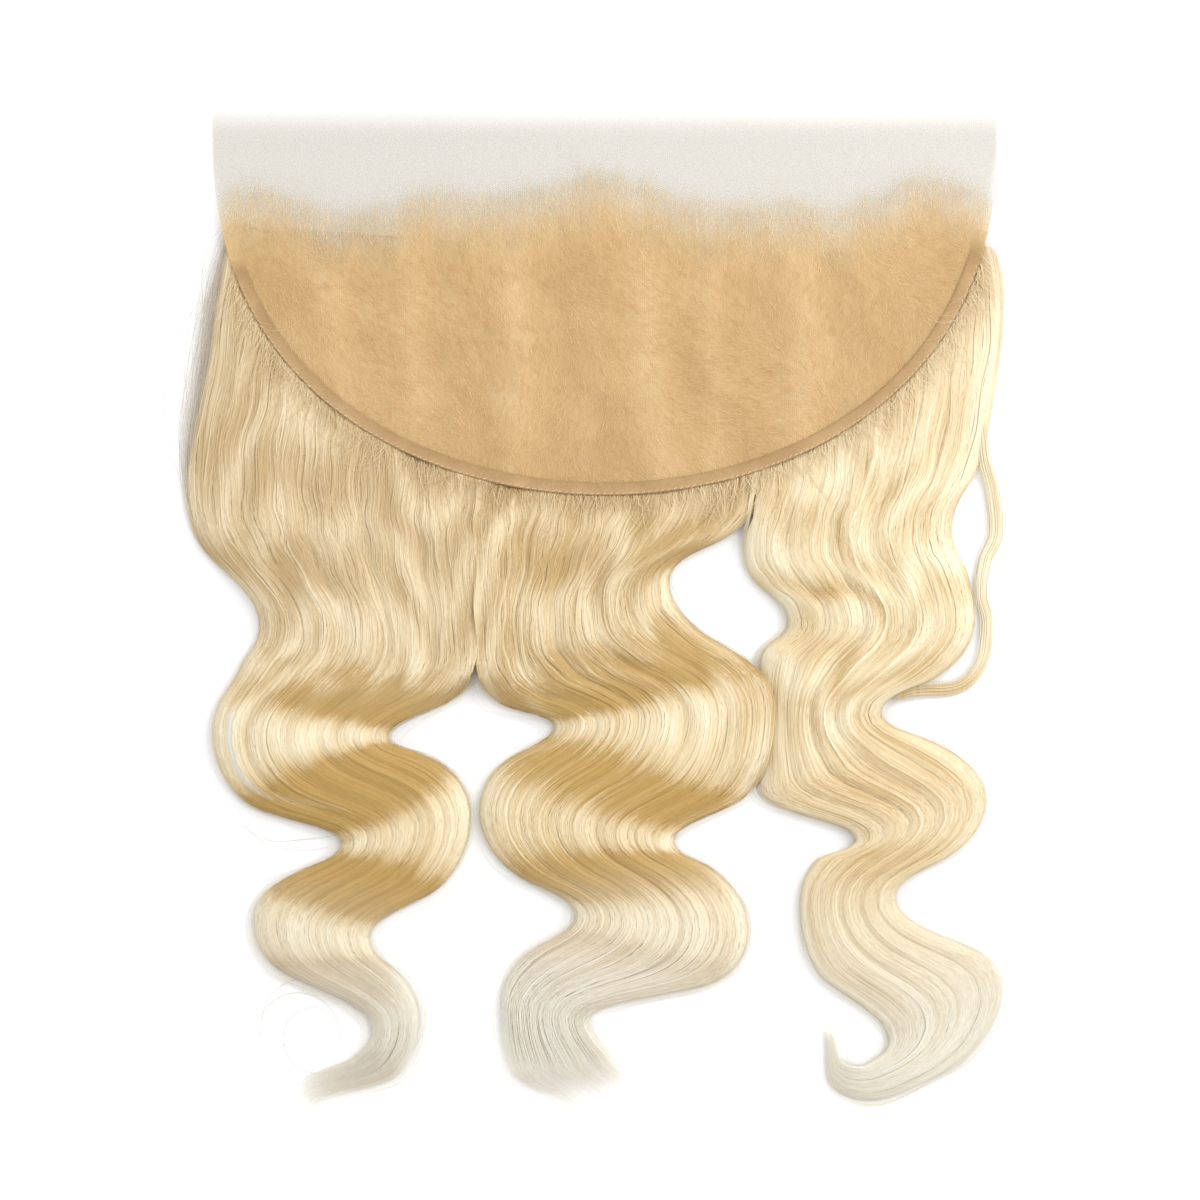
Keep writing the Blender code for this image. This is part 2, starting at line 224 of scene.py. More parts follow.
def wave_slopes(points: Array) -> Array:
    """Works out how fast x and y run past each stop of a wavy edge.

    Where the edge turns, x stands still and y runs fast. Where it crosses, x runs fast and y slowly.

    Args:
        points: the stops, one row of x and y each.

    Returns:
        One row of two slopes for each stop.
    """
    step = np.diff(points, axis=0)
    slopes = np.empty_like(points)
    slopes[0], slopes[-1] = step[0], step[-1]
    back, ahead = step[:-1, 0], step[1:, 0]
    turns = back * ahead <= 0.0
    waving = ~turns & (np.minimum(np.abs(back), np.abs(ahead)) >= WAVE_SWING)
    swing = np.where(turns, 0.0, 2.0 * back * ahead / np.where(turns, 1.0, back + ahead))
    drop = (step[:-1, 1] + step[1:, 1]) / 2.0
    slopes[1:-1, 0] = swing * np.where(waving, CROSSING_SWING, 1.0)
    slopes[1:-1, 1] = drop * np.where(turns, TURN_DROP, np.where(waving, CROSSING_DROP, 1.0))
    return slopes


def along_wave(points: Array, t: Array) -> Array:
    """Finds places on the smooth wavy curve through some stops, a cubic between each two.

    Args:
        points: the stops, one row of x and y each.
        t: where on the curve, 0 at its first stop and 1 at its last, an array of any shape.

    Returns:
        x and y for each t, along a new last axis.
    """
    slopes = wave_slopes(points)
    place = t * (len(points) - 1)
    index = np.clip(np.floor(place).astype(int), 0, len(points) - 2)
    f = (place - index)[..., None]
    start, end = points[index], points[index + 1]
    leave, arrive = slopes[index], slopes[index + 1]
    bend = (1.0 - f) * (leave - (end - start)) - f * (arrive - (end - start))
    return start + (end - start) * f + f * (1.0 - f) * bend


def hairline_y(x: Array) -> Array:
    """Returns how far forward the hair starts at x, with a soft S between the hairline's stops."""
    stops = np.array(HAIRLINE)
    index = np.clip(np.searchsorted(stops[:, 0], x) - 1, 0, len(stops) - 2)
    first, second = stops[index], stops[index + 1]
    t = np.clip((x - first[..., 0]) / (second[..., 0] - first[..., 0]), 0.0, 1.0)
    return first[..., 1] + (second[..., 1] - first[..., 1]) * t * t * (3.0 - 2.0 * t)


def rim(turn: Array) -> tuple[Array, Array]:
    """Returns x and y on the round edge of the lace, from its left end at turn 0 to its right at 1."""
    angle = np.pi * (1.0 - turn)
    x = LACE_CENTRE_X + LACE_HALF_WIDTH * np.cos(angle)
    y = LACE_SHOULDER_Y - LACE_DEPTH * np.maximum(np.sin(angle), 0.0) ** (2.0 / LACE_ROUNDNESS)
    return x, y


def outside(x: Array, y: Array) -> Array:
    """Returns roughly how far a point lies outside the round edge, less than 0 inside it."""
    across = (x - LACE_CENTRE_X) / LACE_HALF_WIDTH
    back = np.maximum(LACE_SHOULDER_Y - y, 0.01) / LACE_DEPTH
    level = across**2 + back**LACE_ROUNDNESS - 1.0
    slope_x = 2.0 * across / LACE_HALF_WIDTH
    slope_y = LACE_ROUNDNESS * back ** (LACE_ROUNDNESS - 1.0) / LACE_DEPTH
    return level / np.maximum(np.hypot(slope_x, slope_y), 1e-6)


def lace_rise(y: Array) -> Array:
    """Returns the height of the unfolded lace's lower face."""
    back = LACE_FRONT_Y - y
    climb = np.maximum(back - HAIRLINE_DEPTH, 0.0) / (LACE_FRONT_Y - LACE_REAR_Y - HAIRLINE_DEPTH)
    front = HAIRLINE_RISE * smooth(FLAT_MARGIN, HAIRLINE_DEPTH, back)
    return front + (REAR_RISE - HAIRLINE_RISE) * climb**CLIMB_EASE


def lace_floor(x: Array, y: Array) -> Array:
    """Returns the height of the lace's lower face, with its folds as bell-shaped crests."""
    back = np.clip((LACE_FRONT_Y - y) / LACE_DEPTH, 0.0, 1.0)
    lift = np.zeros_like(x)
    for fold in FOLDS:
        crest = fold.front_x + (fold.rear_x - fold.front_x) * back
        lift = lift + fold.height * np.exp(-2.0 * ((x - crest) / fold.half_width) ** 2)
    return lace_rise(y) + lift * smooth(0.22, 0.55, back)


def fold_share(x: Array, y: Array) -> Array:
    """Returns how high a fold lifts the lace at a place: about 1 on a crest."""
    return (lace_floor(x, y) - lace_rise(y)) / FOLD_CREST


class Patch(NamedTuple):
    """The faces of a mesh as arrays: corners of quads, and the place of each corner on the bake's map."""

    verts: Array
    quads: Array
    spots: Array


def steps_along(steps: int) -> Array:
    """Returns the share of its length at each step of a hair, as one row."""
    return np.linspace(0.0, 1.0, steps)[None, :]


def joined_up(x: Any, y: Any, z: Any) -> Array:
    """Joins x, y and z, one for each step of each hair, along a new last axis."""
    return np.stack(np.broadcast_arrays(x, y, z), axis=-1)


def arcs(x: Array, y: Array, angle: Array, bend: Array, reach: Array) -> tuple[Array, Array]:
    """Finds x and y along short hairs that leave their roots at an angle and bend on their way.

    Args:
        x: the hairs' roots.
        y: the same.
        angle: the way that each leaves its root, in radians.
        bend: how far each turns to its tip.
        reach: hairs by steps, how far from the root.

    Returns:
        x and y, hairs by steps.
    """
    way = angle[:, None] + bend[:, None] * steps_along(reach.shape[1])
    return x[:, None] + reach * np.cos(way), y[:, None] + reach * np.sin(way)


def cap(ring: Array) -> Array:
    """Closes a ring of points with quads from side to side."""
    half = len(ring) // 2
    low, high = ring[:half], ring[::-1][:half]
    return np.stack([low[:-1], low[1:], high[1:], high[:-1]], axis=-1)


def tube_quads(rings: int, sides: int) -> Array:
    """Returns the quads of a closed tube: its wall, ring by ring, and then its two ends."""
    index = np.arange(rings * sides).reshape(rings, sides)
    following = np.roll(index, -1, axis=1)
    wall = np.stack([index[:-1], index[1:], following[1:], following[:-1]], axis=-1)
    return np.concatenate([wall.reshape(-1, 4), cap(index[0])[:, ::-1], cap(index[-1])])


def grid_quads(rows: int, columns: int) -> Array:
    """Returns the quads of a grid of rows by columns of points, facing up when y grows with the rows."""
    index = np.arange(rows * columns).reshape(rows, columns)
    corners = [index[:-1, :-1], index[:-1, 1:], index[1:, 1:], index[1:, :-1]]
    return np.stack(corners, axis=-1).reshape(-1, 4)


def surface(turn: Array, ahead: Array, x: Array, y: Array, z: Array) -> Patch:
    """Makes a patch of a grid of points, whose place on the map is turn and ahead."""
    quads = grid_quads(*turn.shape)
    spots = np.stack([turn, ahead], axis=-1).reshape(-1, 2)[quads.ravel()]
    return Patch(joined_up(x, y, z).reshape(-1, 3), quads, spots)


def make_piece(name: str, patch: Patch, values: dict[str, Array], finish: Material) -> Object:
    """Puts arrays into a mesh, with its map, its values on points and its finish.

    Args:
        name: the piece's name.
        patch: points in mm, quads, and a map spot for each quad's corner.
        values: one number for each point, by the attribute's name.
        finish: the material.

    Returns:
        The new object, at the origin, smooth all over.
    """
    mesh = bpy.data.meshes.new(name)
    mesh.vertices.add(len(patch.verts))
    mesh.vertices.foreach_set("co", (patch.verts * MM).astype(np.float32).ravel())
    mesh.loops.add(patch.quads.size)
    mesh.loops.foreach_set("vertex_index", patch.quads.astype(np.int32).ravel())
    mesh.polygons.add(len(patch.quads))
    mesh.polygons.foreach_set("loop_start", np.arange(0, patch.quads.size, 4, dtype=np.int32))
    mesh.update(calc_edges=True)
    layer = mesh.uv_layers.new(name=BAKE_MAP)
    layer.data.foreach_set("uv", patch.spots.astype(np.float32).ravel())
    for key, numbers in values.items():
        attribute = mesh.attributes.new(key, "FLOAT", "POINT")
        attribute.data.foreach_set("value", np.asarray(numbers, np.float32).ravel())
    mesh.validate()
    mesh.shade_smooth()
    mesh.materials.append(finish)
    piece = bpy.data.objects.new(name, mesh)
    bpy.context.collection.objects.link(piece)
    return piece


class Socket:
    """A shader socket on which Python's operators add Math nodes."""

    def __init__(self, graph: "Graph", link: Any) -> None:
        """Keeps the graph and the output socket that this stands for."""
        self.graph = graph
        self.link = link

    def _math(self, operation: str, first: Any, second: Any) -> "Socket":
        """Adds one Math node."""
        return self.graph.node("ShaderNodeMath", {"operation": operation}, {0: first, 1: second})

    def __add__(self, other: Any) -> "Socket":
        """Adds."""
        return self._math("ADD", self, other)

    def __sub__(self, other: Any) -> "Socket":
        """Takes other away."""
        return self._math("SUBTRACT", self, other)

    def __rsub__(self, other: Any) -> "Socket":
        """Takes this away from other."""
        return self._math("SUBTRACT", other, self)

    def __mul__(self, other: Any) -> "Socket":
        """Multiplies."""
        return self._math("MULTIPLY", self, other)

    def clipped(self, low: float, high: float) -> "Socket":
        """Maps low to 0 and high to 1, and holds it between them."""
        settings = {"clamp": True, "interpolation_type": "SMOOTHSTEP"}
        inputs = {"Value": self, "From Min": low, "From Max": high}
        return self.graph.node("ShaderNodeMapRange", settings, inputs)


class Graph:
    """The nodes of one material."""

    def __init__(self, name: str) -> None:
        """Makes an empty material with a Principled shader."""
        self.material = bpy.data.materials.new(name)
        self.material.use_nodes = True
        self.tree = self.material.node_tree
        self.shader = self.tree.nodes["Principled BSDF"]

    def node(self, kind: str, settings: dict[str, Any], inputs: dict[Any, Any], output: Any = 0) -> Socket:
        """Adds a node.

        Args:
            kind: the node's type.
            settings: its properties, set first.
            inputs: values or sockets, by the input's name or number.
            output: the name or number of the output that is returned.

        Returns:
            The output, ready for more maths.
        """
        made = self.tree.nodes.new(kind)
        for key, setting in settings.items():
            setattr(made, key, setting)
        for key, value in inputs.items():
            self.feed(made.inputs[key], value)
        return Socket(self, made.outputs[output])

    def feed(self, socket: Any, value: Any) -> None:
        """Links a socket, or sets its value."""
        if isinstance(value, Socket):
            self.tree.links.new(value.link, socket)
        elif isinstance(value, tuple) and len(value) == 3 and socket.type == "RGBA":
            socket.default_value = (*value, 1.0)
        else:
            socket.default_value = value

    def attribute(self, name: str) -> Socket:
        """Reads a number stored on the mesh."""
        return self.node("ShaderNodeAttribute", {"attribute_name": name}, {}, "Fac")

    def place(self) -> Socket:
        """Reads the place on the piece, in metres."""
        return self.node("ShaderNodeTexCoord", {}, {}, "Object")

    def noise(self, vector: Socket, scale: float, detail: float = 2.0) -> Socket:
        """Adds soft noise from 0 to 1."""
        return self.node("ShaderNodeTexNoise", {}, {"Vector": vector, "Scale": scale, "Detail": detail})

    def split(self) -> tuple[Socket, Socket]:
        """Returns x and y of the place on the piece."""
        parts = self.tree.nodes.new("ShaderNodeSeparateXYZ")
        self.tree.links.new(self.place().link, parts.inputs[0])
        return Socket(self, parts.outputs[0]), Socket(self, parts.outputs[1])

    def vector(self, x: Any, y: Any, z: Any) -> Socket:
        """Joins three numbers."""
        return self.node("ShaderNodeCombineXYZ", {}, {0: x, 1: y, 2: z})

    def mix(self, share: Any, first: Any, second: Any) -> Socket:
        """Mixes two colours."""
        settings = {"data_type": "RGBA"}
        return self.node("ShaderNodeMix", settings, {0: share, 6: first, 7: second}, 2)

    def bump(self, strength: float, metres: float, height: Socket) -> Socket:
        """Adds a bump for the shader's normal."""
        return self.node("ShaderNodeBump", {}, {"Strength": strength, "Distance": metres, "Height": height})

    def finish(self, colour: Any, roughness: float, **sockets: Any) -> Material:
        """Feeds the shader's sockets, with underscores for spaces in their names."""
        sockets.update(Base_Color=colour, Roughness=roughness)
        for key, value in sockets.items():
            self.feed(self.shader.inputs[key.replace("_", " ")], value)
        return self.material


@dataclass(frozen=True)
class HairFinish:
    """Silky blonde hair, with painted highlight and shade: cream where it turns, gold where it crosses, a
    painted brown shade at the hem, and pale at the tips.
    """

    name: str
    see_through: bool = False
    gold: Colour = (0.50, 0.315, 0.095)
    honey: Colour = (0.78, 0.62, 0.37)
    pale: Colour = (0.94, 0.87, 0.66)
    # root: the brown of the painted shade just past the hem.
    root: Colour = (0.42, 0.26, 0.09)
    tip: Colour = (0.87, 0.87, 0.80)
    roughness: float = 0.48

    def make(self) -> Material:
        """Builds the material from the attributes tone, turn, flow_x, flow_y, root, tip and cover."""
        graph = Graph(self.name)
        across, along = graph.attribute("flow_x"), graph.attribute("flow_y")
        fine = graph.noise(graph.vector(across * 2.4, along * 0.035, 0.0), 1.0, 3.0)
        broad = graph.noise(graph.vector(across * 0.035, along * 0.030, 7.0), 1.0, 1.0)
        # turn paints a highlight where the hair turns to or from the front and a deeper gold where it
        # crosses; tone carries painted shade and light as well as each hair's own tone.
        light = graph.attribute("tone") * 0.45 + graph.attribute("turn") * 0.52
        light = light + (fine - 0.5) * 0.50 + (broad - 0.5) * 0.45 - 0.19
        deep = graph.mix(light.clipped(0.0, 0.5), self.gold, self.honey)
        lit = graph.mix(light.clipped(0.35, 0.9), deep, self.pale)
        # root mixes in the painted brown shade at the hem.
        root_shaded = graph.mix(graph.attribute("root"), lit, self.root)
        colour = graph.mix(graph.attribute("tip"), root_shaded, self.tip)
        sockets = {"Alpha": graph.attribute("cover")} if self.see_through else {}
        normal = graph.bump(0.2, 0.0001, fine)
        return graph.finish(colour, self.roughness, Specular_IOR_Level=0.35, Normal=normal, **sockets)


@dataclass(frozen=True)
class MatFinish:
    """The hair knotted under the lace: a golden felt of short fibres, seen through the net."""

    name: str
    deep: Colour = (0.50, 0.31, 0.11)
    warm: Colour = (0.71, 0.50, 0.23)
    light: Colour = (0.88, 0.71, 0.43)

    def make(self) -> Material:
        """Builds the felt: short fibres in two slants over soft clouds and the folds' light and shade."""
        graph = Graph(self.name)
        parts = graph.split()
        sway = graph.noise(graph.place(), 14.0, 1.0) * 0.05
        slanted = parts[0] + parts[1] * 0.55 + sway
        fibre = graph.noise(graph.vector(slanted * 1900.0, parts[1] * 330.0, 0.0), 1.0, 3.0) - 0.5
        cloud = graph.noise(graph.vector(slanted * 60.0, parts[1] * 26.0, 2.0), 1.0, 4.0)
        light = graph.attribute("fold") * 0.42 + (cloud - 0.5) * 1.3 + fibre * 1.2 + 0.46
        deep = graph.mix(light.clipped(0.0, 0.6), self.deep, self.warm)
        colour = graph.mix(light.clipped(0.4, 1.1), deep, self.light)
        cover, normal = graph.attribute("cover"), graph.bump(0.6, 0.0004, fibre)
        return graph.finish(colour, 0.7, Specular_IOR_Level=0.2, Alpha=cover, Normal=normal)


@dataclass(frozen=True)
class NetFinish:
    """Fine lace net, with round holes about a millimetre apart: beige in front, golden over the hair."""

    name: str
    front: Colour = (0.54, 0.49, 0.41)
    inner: Colour = (0.70, 0.51, 0.27)
    pitch: float = 0.95
    thread_cover: float = 0.47
    hole_cover: float = 0.37

    def make(self) -> Material:
        """Builds the net: three crossing waves of lines add up to a honeycomb."""
        graph = Graph(self.name)
        parts = graph.split()
        lines: Any = 0.0
        for turn in (0.0, 60.0, 120.0):
            angle = math.radians(turn)
            pace = 2.0 * math.pi / (self.pitch * MM * math.cos(math.radians(30.0)))
            phase = (parts[0] * math.cos(angle) + parts[1] * math.sin(angle)) * pace
            lines = graph.node("ShaderNodeMath", {"operation": "COSINE"}, {0: phase}) + lines
        thread = 1.0 - lines.clipped(-0.9, 0.9)
        cover = thread * (self.thread_cover - self.hole_cover) + self.hole_cover
        colour = graph.mix(graph.attribute("inner"), self.front, self.inner)
        cover, normal = cover * graph.attribute("cover"), graph.bump(0.4, 0.0002, thread)
        return graph.finish(colour, 0.85, Specular_IOR_Level=0.2, Alpha=cover, Normal=normal)


@dataclass(frozen=True)
class HemFinish:
    """Folded lace band: the net lies double, so it is denser and browner than the panel."""

    name: str
    cloth: Colour = (0.47, 0.30, 0.14)
    worn: Colour = (0.58, 0.39, 0.20)

    def make(self) -> Material:
        """Builds the cloth with a fine weave and soft cloudy wear."""
        graph = Graph(self.name)
        weave = graph.noise(graph.place(), 1400.0, 1.0)
        cloud = graph.noise(graph.place(), 90.0, 3.0)
        colour = graph.mix((weave * 0.5 + cloud * 0.6).clipped(0.35, 0.8), self.cloth, self.worn)
        cover, normal = graph.attribute("cover"), graph.bump(0.5, 0.0002, weave)
        return graph.finish(colour, 0.8, Specular_IOR_Level=0.25, Alpha=cover, Normal=normal)


class Join(NamedTuple):
    """A stretch where a fall lies against its neighbour: the side, 0 or 1, and its first and last v."""

    side: float
    first: float
    last: float


class Parted(NamedTuple):
    """A lock that lies a little apart: where across the fall, how that drifts, and its first and last v."""

    across: float
    drift: float
    first: float
    last: float


@dataclass
class Flow:
    """The way that the hair of one fall runs, and how high it lies."""

    rows: Sequence[Section]
    locks: int = 5
    open_left: bool = False
    open_right: bool = False
    joins: Sequence[Join] = ()

    def edges(self, v: Array) -> tuple[Array, Array]:
        """Returns the places of the left and the right edge at v, along a new last axis."""
        table = np.array(self.rows, float)
        return along_wave(table[:, 0:2], v), along_wave(table[:, 2:4], v)

    def place(self, u: Array, v: Array) -> tuple[Array, Array]:
        """Finds places in a fall: a straight line across it between its two wavy edges.

        Args:
            u: 0 at the fall's left edge and 1 at its right.
            v: 0 at the hairline and 1 at the tips.

        Returns:
            x and y in mm.
        """
        left, right = self.edges(v)
        x = left[..., 0] + (right[..., 0] - left[..., 0]) * u
        y = left[..., 1] + (right[..., 1] - left[..., 1]) * u
        front = 1.0 - smooth(0.0, 1.0, v * (len(self.rows) - 1))
        return x, y + (hairline_y(x) - HAIRLINE_Y) * front

    def width(self, v: Array) -> Array:
        """Returns how wide the fall is, in mm."""
        left, right = self.edges(v)
        return np.linalg.norm(right - left, axis=-1)

    def joined(self, u: Array, v: Array) -> Array:
        """Returns 1 in a half of the fall that lies against its neighbour, and 0 where it is free."""
        share = np.zeros(np.broadcast_shapes(np.shape(u), np.shape(v)))
        for join in self.joins:
            first, last = (join.first - 0.03, join.first), (join.last - 0.02, join.last + 0.02)
            share = np.maximum(share, window(first, last, v) * (np.abs(u - join.side) < 0.5))
        return share

    def crown(self, u: Array, v: Array) -> Array:
        """Returns how full the fall is across: 0 at an edge that stands free, and 1 at a joined one."""
        inner = np.clip(u, 0.0, 1.0)
        crown = np.clip(1.0 - np.abs(2.0 * inner - 1.0) ** 3, 0.0, 1.0) ** 0.5
        return crown + (1.0 - crown) * self.joined(inner, v)

    def top(self, u: Array, v: Array, x: Array, y: Array) -> Array:
        """Returns the height of the fall: under the lace it follows the lace, and past it swells in locks."""
        heights = np.array(self.rows, float)[:, 4]
        place = np.clip(v, 0.0, 1.0) * (len(heights) - 1)
        index = np.clip(np.floor(place).astype(int), 0, len(heights) - 2)
        height = heights[index] + (heights[index + 1] - heights[index]) * smooth(0.0, 1.0, place - index)
        inner = np.clip(u, 0.0, 1.0)
        lock = np.abs(np.sin(np.pi * self.locks * inner)) ** 0.7
        side = smooth(0.36, 0.5, np.abs(inner - 0.5)) * self.joined(inner, v)
        valley = LOCK_VALLEY * (1.0 - side) * (1.0 - 0.7 * smooth(0.6, 0.85, v))
        full = self.crown(inner, v) * (1.0 - valley * (1.0 - lock))
        free = EDGE_HEIGHT + (height - EDGE_HEIGHT) * full
        level = lace_rise(y) - HAIR_GAP
        edge = np.minimum(level, EDGE_HEIGHT)
        shoulder = np.ones_like(inner)
        for is_open, depth in ((self.open_left, inner), (self.open_right, 1.0 - inner)):
            if is_open:
                bend = 1.0 - (1.0 - np.clip(depth / SHOULDER, 0, 1)) ** 3
                shoulder = shoulder * np.clip(bend, 0, 1) ** 0.5
        covered = edge + (level - edge) * shoulder
        bare = smooth(RISE_START, RISE_END, outside(x, y))
        return covered * (1.0 - bare) + free * bare


def ribbon_patch(paths: Array, half_width: Array, lean: Array | float = 0.0) -> Patch:
    """Carries a flat ribbon of hairs along many paths at once.

    A ribbon's side direction is its path's direction turned a quarter round the vertical, and raised by
    lean, the height gained for each millimetre to the side.

    Args:
        paths: ribbons by steps by 3, in mm.
        half_width: ribbons by steps, in mm.
        lean: ribbons by steps, or one for each.

    Returns:
        An open strip for each path, facing up, with a strip of its own on the map.
    """
    ribbons, steps, _ = paths.shape
    run = normalised(np.gradient(paths, axis=1))
    upward = np.array([0.0, 0.0, 1.0])
    side = normalised(np.cross(run, upward))
    side = normalised(side + np.asarray(lean)[..., None] * upward)
    reach = side * half_width[..., None]
    corners = np.stack([paths - reach, paths + reach], axis=2)
    index = np.arange(ribbons * steps * 2).reshape(ribbons, steps, 2)
    quads = np.stack([index[:, :-1, 0], index[:, :-1, 1], index[:, 1:, 1], index[:, 1:, 0]], axis=-1)
    strip = np.broadcast_to((np.arange(ribbons) / ribbons)[:, None], (ribbons, steps - 1))
    far_side = strip + 0.8 / ribbons
    down = np.broadcast_to((np.arange(steps - 1) / (steps - 1))[None, :], strip.shape)
    further = down + 1.0 / (steps - 1)
    across = np.stack([strip, far_side, far_side, strip], axis=-1)
    spots = np.stack([across, np.stack([down, down, further, further], axis=-1)], axis=-1)
    return Patch(corners.reshape(-1, 3), quads.reshape(-1, 4), spots.reshape(-1, 2))


def on_corners(numbers: Array) -> Array:
    """Repeats one number for each step of a ribbon on its two corners."""
    return np.repeat(numbers[..., None], 2, axis=-1)


def uprightness(paths: Array) -> Array:
    """Returns 1 where a path runs straight to or from the front and 0 where it runs across."""
    run = normalised(np.gradient(paths, axis=1))
    return smooth(0.50, 1.0, np.abs(run[..., 1]))


def plain_values(paths: Array, tone: Array, turn: Array | float, tip: float = 0.0) -> dict[str, Array]:
    """Returns the hair finish's numbers for short or single hairs.

    Args:
        paths: hairs by steps by 3, in mm.
        tone: how light each place is, from 0 to 1.
        turn: the painted highlight, 1 where a hair takes the light.
        tip: 1 where it is as pale as a tip.

    Returns:
        One array of numbers for each attribute.
    """
    flat = np.zeros(paths.shape[:2])
    return {
        "tone": on_corners(np.clip(tone + flat, 0.0, 1.0)),
        "turn": on_corners(turn + flat),
        "flow_x": on_corners(paths[..., 0]),
        "flow_y": on_corners(paths[..., 1]),
        "root": on_corners(flat),
        "tip": on_corners(tip + flat),
    }


